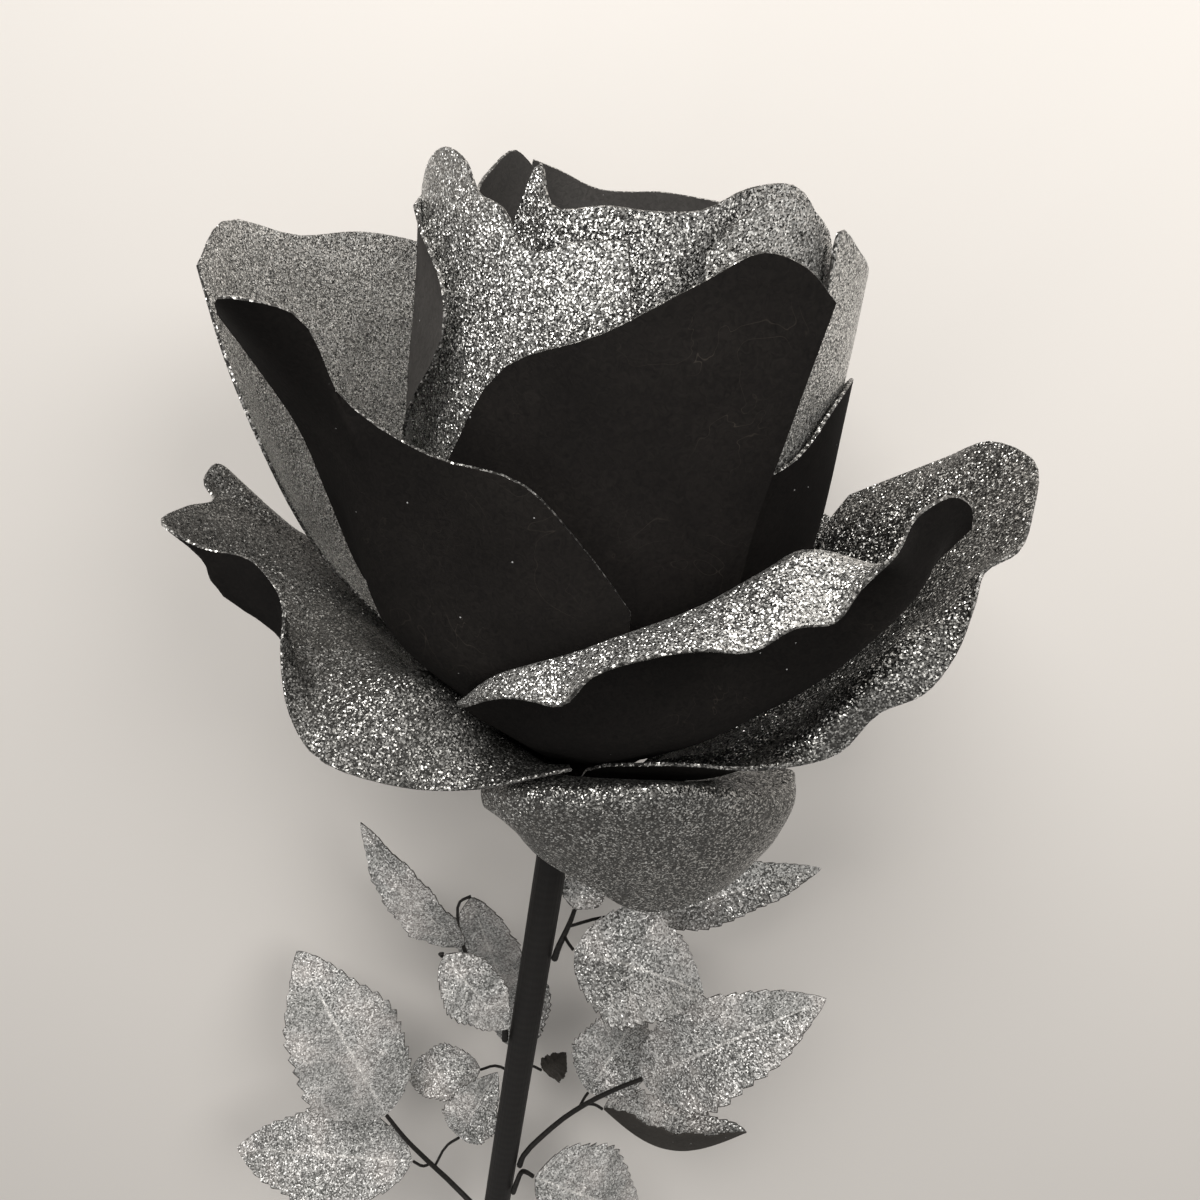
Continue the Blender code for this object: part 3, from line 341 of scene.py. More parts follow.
# %% The few points of a petal's solid
def petal_grid(ring, ribs):
    """Rows of points from the foot of a petal to its rim, on the middle of the sheet."""
    share = SEAT_LEVELS[ring]
    seat_radius = core_radius(share) + SEAT_GAP + PETAL_THICKNESS / 2
    middle = sum(rib[0][0] for rib in ribs) / len(ribs)
    lofted = []
    for rib in ribs:
        turned = middle + (rib[0][0] - middle) * SEAT_NARROWING
        foot = (turned, 100 * seat_radius / HEAD_RADIUS, 100 * core_height(share) / HEAD_HEIGHT)
        steps = [PETAL_ROWS // len(rib)] * len(rib)
        steps[-1] += PETAL_ROWS - sum(steps)
        lofted.append(smooth_through((foot, *rib), steps))
    lofted = np.stack(lofted)
    gaps = np.abs(np.diff(lofted[..., 0], axis=0)).mean(axis=1)
    steps = [max(1, round(gap / DEGREES_PER_COLUMN)) for gap in gaps]
    rows = [smooth_through(lofted[:, row], steps) for row in range(lofted.shape[1])]
    scaled = np.stack(rows, axis=1) * (1, HEAD_RADIUS / 100, HEAD_HEIGHT / 100)
    return on_ring(scaled[..., 0], scaled[..., 1], scaled[..., 2])


print("the heart petal's solid has a grid of", petal_grid(*PETALS[0][1:]).shape[:2], "points")

# %% [markdown]
# ## One petal outside the other
#
# Glued petals press against each other but never pass through each other. So each new petal is pushed out
# from the heart of the flower wherever a petal that is already there stands in its way. Rays from outside
# find how far, and the push is spread to the points next to it, so that the sheet stays smooth.

# %% Move a petal clear of the earlier ones
def neighbours_max(field):
    padded = np.pad(field, 1, mode="edge")
    rows, columns = field.shape
    shifts = [padded[i : i + rows, k : k + columns] for i in range(3) for k in range(3)]
    return np.max(shifts, axis=0), np.mean(shifts, axis=0)


def with_midpoints(grid):
    """The grid with a point more between each two neighbours."""
    for axis in (0, 1):
        near = np.take(grid, range(grid.shape[axis] - 1), axis=axis)
        far = np.take(grid, range(1, grid.shape[axis]), axis=axis)
        wider = np.repeat(grid, 2, axis=axis)
        wider = np.take(wider, range(wider.shape[axis] - 1), axis=axis)
        between = (slice(None),) * axis + (slice(1, None, 2),)
        wider[between] = (near + far) / 2
        grid = wider
    return grid


def nest_outside(grid, earlier):
    """Moves a petal out, from the heart of the flower, where it would pass through the petals inside it."""
    if earlier is None:
        return grid
    centre = Vector((0, 0, NEST_CENTRE * HEAD_HEIGHT))
    half = PETAL_THICKNESS / 2 + NEST_GAP
    finer = with_midpoints(grid)
    push = np.zeros(finer.shape[:2])
    for place in np.ndindex(push.shape):
        reach = Vector(finer[place]) - centre
        distance = reach.length
        way = reach / distance
        start = centre + way * 2 * HEAD_RADIUS
        where, normal, _, gone = earlier.ray_cast(start, -way, 2 * HEAD_RADIUS)
        if where is not None:
            needed = 2 * HEAD_RADIUS - gone + half / max(abs(normal.dot(way)), 0.5)
            push[place] = max(0, needed - distance)
    for _ in range(2):
        push = neighbours_max(push)[0]
    push = push[::2, ::2]
    push = np.maximum(push, neighbours_max(push)[1])
    push[:, 0] = 0
    outward = grid - np.array(centre)
    length = np.linalg.norm(outward, axis=-1, keepdims=True)
    return grid + outward / length * push[..., None]


def sheet_normals(grid):
    across = np.gradient(grid, axis=0)
    along = np.gradient(grid, axis=1)
    normal = np.cross(across, along)
    return normal / np.maximum(np.linalg.norm(normal, axis=-1, keepdims=True), 1e-12)


# %% [markdown]
# The solids are flat-faced shells round these grids. The same shells are made here once more, only to find
# where the next petal has to go.

# %% The shell round a petal's few points
def split_quads(corners, points):
    """Two triangles for each quad, cut along its shorter diagonal."""
    a, b, c, d = corners.T
    first = np.linalg.norm(points[a] - points[c], axis=-1) <= np.linalg.norm(points[b] - points[d], axis=-1)
    one = np.where(first[:, None], np.stack([a, b, c], axis=-1), np.stack([a, b, d], axis=-1))
    two = np.where(first[:, None], np.stack([a, c, d], axis=-1), np.stack([b, c, d], axis=-1))
    return np.concatenate([one, two])


def sheet_shell(grid, thickness):
    """Points and triangles of a closed sheet round the grid: its normals' side, the other side, the edge."""
    columns, rows = grid.shape[:2]
    normal = sheet_normals(grid) * thickness / 2
    points = np.concatenate([(grid + normal).reshape(-1, 3), (grid - normal).reshape(-1, 3)])
    under = columns * rows
    place = np.arange(under).reshape(columns, rows)
    near, far, next_row, both = place[:-1, :-1], place[1:, :-1], place[:-1, 1:], place[1:, 1:]
    quads = np.stack([near, far, both, next_row], axis=-1).reshape(-1, 4)
    front = split_quads(quads, grid.reshape(-1, 3))
    back = front[:, ::-1] + under
    loop = np.concatenate([place[:, 0], place[-1, 1:], place[-2::-1, -1], place[0, -2:0:-1]])
    after = np.roll(loop, -1)
    edge = split_quads(np.stack([after, loop, loop + under, after + under], axis=-1), points)
    return points, np.concatenate([front, back, edge])


# %% Glue the petals on, one by one
petal_grids, shell_middles = {}, []
laid_points, laid_faces = [], []
for name, ring, ribs in PETALS:
    earlier = BVHTree.FromPolygons(laid_points, laid_faces) if laid_faces else None
    grid = nest_outside(petal_grid(ring, ribs), earlier)
    if (sheet_normals(grid) * (grid - (0, 0, NEST_CENTRE * HEAD_HEIGHT))).sum() < 0:
        grid = grid[::-1]
    petal_grids[name] = grid
    points, faces = sheet_shell(grid, PETAL_THICKNESS)
    shell_middles.append(points.mean(axis=0))
    laid_faces += [tuple(int(k) + len(laid_points) for k in face) for face in faces]
    laid_points += [tuple(point) for point in points]
print("points in the petals' shells:", len(laid_points))

# %% [markdown]
# ## From standing to lying
#
# The rose can't stand by itself, so the solids lie on a flat floor as the rose comes to rest, on its back.
# The turn from the standing flower to the lying one is found from the solids: the middles of the nineteen
# petals are known both ways, and the best rigid turn between two sets of points is a small sum with
# matrices. No number has to be copied, and the fit says how good it is.

# %% Find how the solids lie
solid_middles = []
for name, _, _ in PETALS:
    corners = np.array([corner.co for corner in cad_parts[name].data.vertices])
    solid_middles.append(np.unique(corners.round(6), axis=0).mean(axis=0))
solid_middles, shell_middles = np.array(solid_middles), np.array(shell_middles)
from_centre, to_centre = shell_middles.mean(axis=0), solid_middles.mean(axis=0)
left, _, right = np.linalg.svd((shell_middles - from_centre).T @ (solid_middles - to_centre))
flip = np.diag([1, 1, np.sign(np.linalg.det(right.T @ left.T))])
LAID = right.T @ flip @ left.T
LAID_AT = to_centre - LAID @ from_centre


def lie(points):
    """Points of the standing flower, as they lie on the floor."""
    return np.asarray(points) @ LAID.T + LAID_AT


print("the petals' middles fit within", abs(lie(shell_middles) - solid_middles).max().round(6), "m")

# %% [markdown]
# ## The camera
#
# The photograph looks at the standing flower from in front and a little above, from close by, so the bud
# looks large and the leaves small. The camera keeps that view of the flower: it is placed in the standing
# flower's space and laid down with it. It ends up above the lying rose, with the floor as its background.

# %% Put the camera where the photograph was taken
CAMERA_AIM = (0.0026, 0.0, 0.075)
CAMERA_DISTANCE = 0.382
CAMERA_DOWN = math.radians(26)
CAMERA_ROLL = math.radians(9.3)
FOCAL_PIXELS, FRAME_PIXELS = 942, 1200
ahead = np.array([0, math.cos(CAMERA_DOWN), -math.sin(CAMERA_DOWN)])
above = np.array([0, math.sin(CAMERA_DOWN), math.cos(CAMERA_DOWN)])
beside = np.array([1.0, 0, 0])
turned_x = beside * math.cos(CAMERA_ROLL) + above * math.sin(CAMERA_ROLL)
turned_y = above * math.cos(CAMERA_ROLL) - beside * math.sin(CAMERA_ROLL)
camera_data = bpy.data.cameras.new("photo_camera")
camera_data.sensor_width = 36
camera_data.lens = 36 * FOCAL_PIXELS / FRAME_PIXELS
camera_data.clip_start = 0.02
camera = bpy.data.objects.new("photo_camera", camera_data)
bpy.context.scene.collection.objects.link(camera)
axes = LAID @ np.stack([turned_x, turned_y, -ahead], axis=1)
stand_at = lie(np.array(CAMERA_AIM) - CAMERA_DISTANCE * ahead)
camera.matrix_world = Matrix.Translation(stand_at) @ Matrix(axes).to_4x4()
bpy.context.scene.camera = camera
print("camera at", [round(value, 3) for value in camera.location], "lens", round(camera_data.lens, 2), "mm")

# %% [markdown]
# ## Finishes
#
# The glitter is the rose's whole character. Each flake is a tiny mirror of its own that leans its own way,
# so some flash and most stay dark. A noise bump gives only soft lumps. A Voronoi texture is better, because
# its cells are separate: every cell has a random colour, and here that colour sets how bright the flake is
# and which way it leans. The effect is used by the petals, their cut edges and the leaves, so it is built
# once as a node group with named inputs, and each finish gives it its own values.

# %% Helpers for node groups and finishes
def new_group(name, inputs, outputs):
    """A node group with named sockets, each (name, kind, value)."""
    group = bpy.data.node_groups.new(name, "ShaderNodeTree")
    for label, kind, value in inputs:
        socket = group.interface.new_socket(label, in_out="INPUT", socket_type=kind)
        socket.default_value = value
    for label, kind in outputs:
        group.interface.new_socket(label, in_out="OUTPUT", socket_type=kind)
    return group, group.nodes.new("NodeGroupInput"), group.nodes.new("NodeGroupOutput")


def maths(tree, operation, first, second=None, third=None):
    """A Math node whose sockets are linked to other nodes or hold numbers."""
    node = tree.nodes.new("ShaderNodeMath")
    node.operation = operation
    for socket, given in zip(node.inputs, (first, second, third)):
        if isinstance(given, (int, float)):
            socket.default_value = given
        elif given is not None:
            tree.links.new(given, socket)
    return node.outputs[0]


def colour_steps(tree, value, steps):
    """A colour ramp through (position, colour) steps."""
    ramp = tree.nodes.new("ShaderNodeValToRGB")
    elements = ramp.color_ramp.elements
    while len(elements) < len(steps):
        elements.new(0.5)
    for element, (position, colour) in zip(elements, steps):
        element.position = position
        element.color = (*colour, 1)
    tree.links.new(value, ramp.inputs["Fac"])
    return ramp.outputs["Color"]


def mix_colours(tree, share, first, second, blend="MIX"):
    node = tree.nodes.new("ShaderNodeMix")
    node.data_type = "RGBA"
    node.blend_type = blend
    for socket, given in ((node.inputs[0], share), (node.inputs[6], first), (node.inputs[7], second)):
        if isinstance(given, (int, float)):
            socket.default_value = given
        elif isinstance(given, tuple):
            socket.default_value = (*given, 1)
        else:
            tree.links.new(given, socket)
    return node.outputs[2]


def new_finish(name, roughness=0.5, metallic=0.0, **more):
    """A material with one Principled shader, whose even values sit on its own sockets."""
    finish = bpy.data.materials.new(name)
    finish.use_nodes = True
    shader = finish.node_tree.nodes["Principled BSDF"]
    shader.inputs["Roughness"].default_value = roughness
    shader.inputs["Metallic"].default_value = metallic
    for socket, value in more.items():
        shader.inputs[socket.replace("_", " ")].default_value = value
    return finish, finish.node_tree, shader


def place_group(tree, group, **values):
    node = tree.nodes.new("ShaderNodeGroup")
    node.node_tree = group
    for socket, value in values.items():
        node.inputs[socket.replace("_", " ")].default_value = value
    return node


print("helpers ready")

# %% The glitter group
def make_glitter_group():
    group, given, out = new_group(
        "glitter_flakes",
        (("Flakes per Metre", "NodeSocketFloat", 1300.0), ("Lean", "NodeSocketFloat", 0.9),
         ("Dark Share", "NodeSocketFloat", 0.5), ("Tint", "NodeSocketColor", (1, 1, 1, 1))),
        (("Colour", "NodeSocketColor"), ("Roughness", "NodeSocketFloat"), ("Normal", "NodeSocketVector")),
    )
    nodes, links = group.nodes, group.links
    where = nodes.new("ShaderNodeTexCoord")
    cells = nodes.new("ShaderNodeTexVoronoi")
    links.new(where.outputs["Object"], cells.inputs["Vector"])
    links.new(given.outputs["Flakes per Metre"], cells.inputs["Scale"])
    parts = nodes.new("ShaderNodeSeparateColor")
    links.new(cells.outputs["Color"], parts.inputs["Color"])
    patches = nodes.new("ShaderNodeTexNoise")
    patches.inputs["Scale"].default_value = 55
    patches.inputs["Detail"].default_value = 3
    links.new(where.outputs["Object"], patches.inputs["Vector"])
    drift = maths(group, "MULTIPLY_ADD", patches.outputs["Fac"], 0.30, -0.15)
    luck = maths(group, "ADD", parts.outputs["Red"], drift)
    above = maths(group, "SUBTRACT", luck, given.outputs["Dark Share"])
    room = maths(group, "SUBTRACT", 1.0, given.outputs["Dark Share"])
    bright = maths(group, "DIVIDE", above, room)
    shades = colour_steps(group, bright, (
        (0.0, (0.105, 0.104, 0.102)), (0.3, (0.28, 0.28, 0.275)),
        (0.65, (0.58, 0.58, 0.575)), (0.9, (1.0, 1.0, 1.0)),
    ))
    tinted = mix_colours(group, 1.0, shades, given.outputs["Tint"], "MULTIPLY")
    links.new(tinted, out.inputs["Colour"])
    links.new(maths(group, "MULTIPLY_ADD", parts.outputs["Green"], 0.25, 0.22), out.inputs["Roughness"])
    centred = nodes.new("ShaderNodeVectorMath")
    centred.operation = "SUBTRACT"
    centred.inputs[1].default_value = (0.5, 0.5, 0.5)
    links.new(cells.outputs["Color"], centred.inputs[0])
    lean = nodes.new("ShaderNodeVectorMath")
    lean.operation = "SCALE"
    links.new(centred.outputs[0], lean.inputs[0])
    links.new(given.outputs["Lean"], lean.inputs["Scale"])
    surface = nodes.new("ShaderNodeNewGeometry")
    leaning = nodes.new("ShaderNodeVectorMath")
    leaning.operation = "ADD"
    links.new(surface.outputs["Normal"], leaning.inputs[0])
    links.new(lean.outputs[0], leaning.inputs[1])
    unit = nodes.new("ShaderNodeVectorMath")
    unit.operation = "NORMALIZE"
    links.new(leaning.outputs[0], unit.inputs[0])
    links.new(unit.outputs[0], out.inputs["Normal"])
    return group


glitter_group = make_glitter_group()
print("glitter group:", [socket.name for socket in glitter_group.interface.items_tree])

# %% [markdown]
# The back of the sheet is matte. Close up it is not a single black: it has a short felt-like nap with faint
# lighter hairs and thin curled scratches, and here and there a stray flake of glitter has stuck to it. The
# group below gives both, as a colour and as a height for the bump.

# %% The felt group
def make_felt_group():
    group, given, out = new_group(
        "matte_felt",
        (("Base", "NodeSocketColor", (0.01, 0.01, 0.01, 1)),
         ("Nap", "NodeSocketColor", (0.03, 0.03, 0.03, 1)),
         ("Stray Flakes", "NodeSocketFloat", 0.3)),
        (("Colour", "NodeSocketColor"), ("Height", "NodeSocketFloat")),
    )
    nodes, links = group.nodes, group.links
    where = nodes.new("ShaderNodeTexCoord")
    hairs = nodes.new("ShaderNodeTexNoise")
    hairs.inputs["Scale"].default_value = 420
    hairs.inputs["Detail"].default_value = 4
    hairs.inputs["Distortion"].default_value = 1.6
    links.new(where.outputs["Object"], hairs.inputs["Vector"])
    clouds = nodes.new("ShaderNodeTexNoise")
    clouds.inputs["Scale"].default_value = 24
    links.new(where.outputs["Object"], clouds.inputs["Vector"])
    mixed = maths(group, "MULTIPLY", hairs.outputs["Fac"], clouds.outputs["Fac"])
    share = maths(group, "MULTIPLY_ADD", mixed, 3.2, -0.35)
    share = maths(group, "MINIMUM", maths(group, "MAXIMUM", share, 0.0), 1.0)
    felt = mix_colours(group, share, given.outputs["Base"], given.outputs["Nap"])
    curls = nodes.new("ShaderNodeTexNoise")
    curls.inputs["Scale"].default_value = 26
    curls.inputs["Distortion"].default_value = 2.5
    links.new(where.outputs["Object"], curls.inputs["Vector"])
    from_line = maths(group, "ABSOLUTE", maths(group, "SUBTRACT", curls.outputs["Fac"], 0.52))
    scratch = maths(group, "MAXIMUM", maths(group, "MULTIPLY_ADD", from_line, -280.0, 1.0), 0.0)
    worn = maths(group, "MAXIMUM", maths(group, "MULTIPLY_ADD", clouds.outputs["Fac"], 5.0, -2.6), 0.0)
    worn = maths(group, "MINIMUM", maths(group, "MULTIPLY", scratch, worn), 0.5)
    felt = mix_colours(group, worn, felt, (0.045, 0.038, 0.032))
    specks = nodes.new("ShaderNodeTexVoronoi")
    specks.inputs["Scale"].default_value = 210
    links.new(where.outputs["Object"], specks.inputs["Vector"])
    parts = nodes.new("ShaderNodeSeparateColor")
    links.new(specks.outputs["Color"], parts.inputs["Color"])
    small = maths(group, "LESS_THAN", specks.outputs["Distance"], 0.055)
    lucky = maths(group, "LESS_THAN", parts.outputs["Red"], given.outputs["Stray Flakes"])
    stray = maths(group, "MULTIPLY", small, lucky)
    links.new(mix_colours(group, stray, felt, (0.4, 0.4, 0.4)), out.inputs["Colour"])
    links.new(hairs.outputs["Fac"], out.inputs["Height"])
    return group


felt_group = make_felt_group()
print("felt group:", [socket.name for socket in felt_group.interface.items_tree])

# %% [markdown]
# A leaf's veins are pressed into the sheet, and the flakes on their crests catch the light. That light is
# painted in, as pale lines along the veins. The lines are worked out from the leaf's own map: across it from
# edge to edge, and along it from foot to tip. A distance to the nearest vein line, made with a few Math
# nodes, needs no image. The leaf's mesh is puffed between the same lines later on, so both use the same two
# values.

# %% The vein group
SIDE_VEINS = 7.0
VEIN_SWEEP = 0.22


def make_vein_group():
    group, given, out = new_group(
        "leaf_veins",
        (("Side Veins", "NodeSocketFloat", SIDE_VEINS), ("Sweep", "NodeSocketFloat", VEIN_SWEEP)),
        (("Vein", "NodeSocketFloat"), ("Height", "NodeSocketFloat")),
    )
    nodes, links = group.nodes, group.links
    leaf_map = nodes.new("ShaderNodeUVMap")
    leaf_map.uv_map = "leaf_map"
    split = nodes.new("ShaderNodeSeparateXYZ")
    links.new(leaf_map.outputs["UV"], split.inputs["Vector"])
    side = maths(group, "ABSOLUTE", maths(group, "MULTIPLY_ADD", split.outputs["X"], 2.0, -1.0))
    swept = maths(group, "MULTIPLY", side, given.outputs["Sweep"])
    along = maths(group, "SUBTRACT", split.outputs["Y"], swept)
    along = maths(group, "MULTIPLY", along, given.outputs["Side Veins"])
    nearest = maths(group, "ABSOLUTE", maths(group, "SUBTRACT", maths(group, "FRACT", along), 0.5))
    side_vein = maths(group, "SUBTRACT", 1.0, maths(group, "DIVIDE", nearest, 0.05))
    side_vein = maths(group, "MULTIPLY", maths(group, "MAXIMUM", side_vein, 0.0), 0.45)
    midrib = maths(group, "MAXIMUM", maths(group, "SUBTRACT", 1.0, maths(group, "DIVIDE", side, 0.045)), 0.0)
    vein = maths(group, "MAXIMUM", side_vein, midrib)
    links.new(vein, out.inputs["Vein"])
    links.new(vein, out.inputs["Height"])
    return group


vein_group = make_vein_group()
print("vein group:", [socket.name for socket in vein_group.interface.items_tree])

# %% [markdown]
# Each finish is one Principled shader with the groups feeding it. The flakes are metal, so their Metallic is
# high, and the felt is not. The lowest petals lie in shade, and that shade is painted into their glitter:
# more of its flakes are dull, and all of them are tinted down. The cut edge shows coarser, sparser flakes
# than the face.

# %% The petals' finishes
def glitter_finish(name, per_metre, lean, dark_share, tint):
    finish, tree, shader = new_finish(name, metallic=0.85, Specular_IOR_Level=0.6)
    flakes = place_group(tree, glitter_group, Lean=lean, Dark_Share=dark_share, Tint=(*tint, 1))
    flakes.inputs["Flakes per Metre"].default_value = per_metre
    tree.links.new(flakes.outputs["Colour"], shader.inputs["Base Color"])
    tree.links.new(flakes.outputs["Roughness"], shader.inputs["Roughness"])
    tree.links.new(flakes.outputs["Normal"], shader.inputs["Normal"])
    return finish


def felt_finish(name, base, nap, stray, roughness):
    finish, tree, shader = new_finish(name, roughness=roughness, Specular_IOR_Level=0.06)
    felt = place_group(tree, felt_group, Base=(*base, 1), Nap=(*nap, 1), Stray_Flakes=stray)
    tree.links.new(felt.outputs["Colour"], shader.inputs["Base Color"])
    bump = tree.nodes.new("ShaderNodeBump")
    bump.inputs["Strength"].default_value = 0.35
    bump.inputs["Distance"].default_value = 0.0004
    tree.links.new(felt.outputs["Height"], bump.inputs["Height"])
    tree.links.new(bump.outputs["Normal"], shader.inputs["Normal"])
    return finish


silver_glitter = glitter_finish("silver_glitter", 2400, 1.25, 0.16, (1.0, 0.99, 0.965))
# painted shade: the silver glitter with more dull flakes and a darker tint, for the petals that lie in shade
painted_shade_glitter = glitter_finish("silver_glitter_painted_shade", 2000, 1.2, 0.62, (0.70, 0.69, 0.665))
glitter_edge = glitter_finish("glitter_cut_edge", 1500, 1.1, 0.60, (0.75, 0.735, 0.712))
black_felt = felt_finish("black_felt", (0.0060, 0.0054, 0.0052), (0.013, 0.0115, 0.0105), 0.10, 0.85)
# painted light: a lighter copy of the black felt, standing in for the light that falls on the inner petals'
# linings
felt_painted_lit = felt_finish("felt_painted_lit", (0.040, 0.038, 0.036), (0.066, 0.062, 0.059), 0.25, 0.85)
petal_finishes = (silver_glitter, painted_shade_glitter, glitter_edge, black_felt, felt_painted_lit)
print("petal finishes:", [finish.name for finish in petal_finishes])

# %% The leaves' finishes
def leaf_finish():
    finish, tree, shader = new_finish("leaf_glitter", metallic=0.35, Specular_IOR_Level=0.6)
    flakes = place_group(tree, glitter_group, Lean=1.0, Dark_Share=0.18, Tint=(1.0, 0.99, 0.97, 1))
    flakes.inputs["Flakes per Metre"].default_value = 1500
    where = tree.nodes.new("ShaderNodeTexCoord")
    clouds = tree.nodes.new("ShaderNodeTexNoise")
    clouds.inputs["Scale"].default_value = 42
    clouds.inputs["Detail"].default_value = 3
    tree.links.new(where.outputs["Object"], clouds.inputs["Vector"])
    patchy = colour_steps(tree, clouds.outputs["Fac"], (
        (0.36, (0.065, 0.07, 0.065)), (0.50, (0.16, 0.157, 0.153)), (0.64, (0.40, 0.368, 0.350)),
    ))
    sheet = mix_colours(tree, 0.58, patchy, flakes.outputs["Colour"])
    veins = place_group(tree, vein_group)
    # painted highlight: the veins are mixed towards a pale colour, standing in for the light that their
    # flakes catch
    vein_highlight_share = maths(tree, "MULTIPLY", veins.outputs["Vein"], 0.5)
    paler = mix_colours(tree, vein_highlight_share, sheet, (0.72, 0.70, 0.67))
    tree.links.new(paler, shader.inputs["Base Color"])
    tree.links.new(flakes.outputs["Roughness"], shader.inputs["Roughness"])
    tree.links.new(flakes.outputs["Normal"], shader.inputs["Normal"])
    return finish


leaf_glitter = leaf_finish()
leaf_back = felt_finish("leaf_underside", (0.034, 0.031, 0.028), (0.060, 0.055, 0.050), 0.2, 0.75)
print("leaf finishes:", leaf_glitter.name, leaf_back.name)

# %% [markdown]
# The photograph shows a near-black stem and wires, and no more. They are dressed as if wound with florist's
# tape, which leaves faint slanting ridges. The core under the petals is plain black, and hardly shows.

# %% The stem's, the wires' and the core's finishes
def wrap_finish(name, colour, worn, ridges, roughness):
    finish, tree, shader = new_finish(name, roughness=roughness, Specular_IOR_Level=0.2)
    where = tree.nodes.new("ShaderNodeTexCoord")
    wave = tree.nodes.new("ShaderNodeTexWave")
    wave.bands_direction = "Y"
    wave.inputs["Scale"].default_value = ridges
    wave.inputs["Distortion"].default_value = 3.0
    wave.inputs["Detail"].default_value = 2.0
    tree.links.new(where.outputs["Object"], wave.inputs["Vector"])
    rubbed = tree.nodes.new("ShaderNodeTexNoise")
    rubbed.inputs["Scale"].default_value = 90
    rubbed.inputs["Detail"].default_value = 5
    tree.links.new(where.outputs["Object"], rubbed.inputs["Vector"])
    share = maths(tree, "MULTIPLY", rubbed.outputs["Fac"], wave.outputs["Fac"])
    tree.links.new(mix_colours(tree, share, colour, worn), shader.inputs["Base Color"])
    bump = tree.nodes.new("ShaderNodeBump")
    bump.inputs["Strength"].default_value = 0.08
    bump.inputs["Distance"].default_value = 0.0003
    tree.links.new(wave.outputs["Fac"], bump.inputs["Height"])
    tree.links.new(bump.outputs["Normal"], shader.inputs["Normal"])
    return finish


stem_tape = wrap_finish("stem_tape", (0.0095, 0.0085, 0.008), (0.015, 0.0135, 0.0125), 60, 0.6)
wire_tape = wrap_finish("wire_tape", (0.009, 0.008, 0.0075), (0.020, 0.018, 0.016), 120, 0.6)
core_board = felt_finish("core_board", (0.02, 0.02, 0.02), (0.04, 0.038, 0.036), 0.1, 0.9)
for node, finish in [("stem", stem_tape), ("petal_core", core_board)] + [
    (name, wire_tape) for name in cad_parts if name.endswith("_wire")
]:
    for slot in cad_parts[node].material_slots:
        slot.material = finish
print("finished solids: stem, core and", sum(name.endswith("_wire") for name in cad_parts), "wires")

# %% [markdown]
# ## The fine petals
#
# A petal's few points become a fine grid by running smooth curves through them both ways. The sheet then
# gets its thickness, with a rounded cut edge, and a very slight unevenness from the hands that bent it. The
# shape could also come from Solidify and Bevel modifiers, but made directly, each face knows which side of
# the sheet it is on, so the glitter, the felt and the cut edge can be told apart.

# %% A fine sheet with two faces and a cut edge
ACROSS_STEPS, ALONG_STEPS = 4, 5
EDGE_ROUND = 0.0003
HAND_WAVE = 0.0005
WAVES_PER_METRE = 28


def finer(grid, across, along):
    """Smooth curves through the grid both ways."""
    rows = [smooth_through(grid[:, row], [across] * (len(grid) - 1)) for row in range(grid.shape[1])]
    wide = np.stack(rows, axis=1)
    return np.stack([smooth_through(line, [along] * (len(line) - 1)) for line in wide])


def hand_bent(grid, amount):
    """Leaves the foot where it is glued and makes the rest slightly uneven."""
    rows = np.linspace(0, 1, grid.shape[1]) ** 1.5
    wobble = np.array([[noise.noise(Vector(point) * WAVES_PER_METRE) for point in line] for line in grid])
    return grid + sheet_normals(grid) * (wobble * rows * amount)[..., None]


def fine_sheet(grid, thickness):
    """Points, quads, and each quad's part: 0 the normals' side, 1 the other side, 2 the edge."""
    columns, rows = grid.shape[:2]
    normal = sheet_normals(grid) * thickness / 2
    place = np.arange(columns * rows).reshape(columns, rows)
    under = columns * rows
    near, far, next_row, both = place[:-1, :-1], place[1:, :-1], place[:-1, 1:], place[1:, 1:]
    front = np.stack([near, far, both, next_row], axis=-1).reshape(-1, 4)
    back = front[:, ::-1] + under
    loop = np.concatenate([place[:, 0], place[-1, 1:], place[-2::-1, -1], place[0, -2:0:-1]])
    flat = grid.reshape(-1, 3)
    columns_in, rows_in = np.unravel_index(loop, (columns, rows))
    inward = place[np.clip(columns_in, 1, columns - 2), np.clip(rows_in, 1, rows - 2)]
    outward = flat[loop] - flat[inward]
    outward /= np.maximum(np.linalg.norm(outward, axis=1, keepdims=True), 1e-9)
    rim = flat[loop] + outward * EDGE_ROUND
    points = np.concatenate([(grid + normal).reshape(-1, 3), (grid - normal).reshape(-1, 3), rim])
    after = np.roll(loop, -1)
    middle = 2 * under + np.arange(len(loop))
    middle_after = np.roll(middle, -1)
    upper = np.stack([after, loop, middle, middle_after], axis=-1)
    lower = np.stack([middle_after, middle, loop + under, after + under], axis=-1)
    part = np.repeat([0, 1, 2], [len(front), len(back), len(upper) + len(lower)])
    return points, np.concatenate([front, back, upper, lower]), part


def sheet_piece(name, points, faces, part, finishes):
    mesh = bpy.data.meshes.new(name)
    mesh.from_pydata(lie(points).tolist(), [], faces.tolist())
    for finish in finishes:
        mesh.materials.append(finish)
    mesh.polygons.foreach_set("material_index", part)
    mesh.shade_smooth()
    mesh.set_sharp_from_angle(angle=math.radians(50))
    made = bpy.data.objects.new(name, mesh)
    bpy.context.scene.collection.objects.link(made)
    return made


print("each petal gets", ACROSS_STEPS, "by", ALONG_STEPS, "times its solid's points")

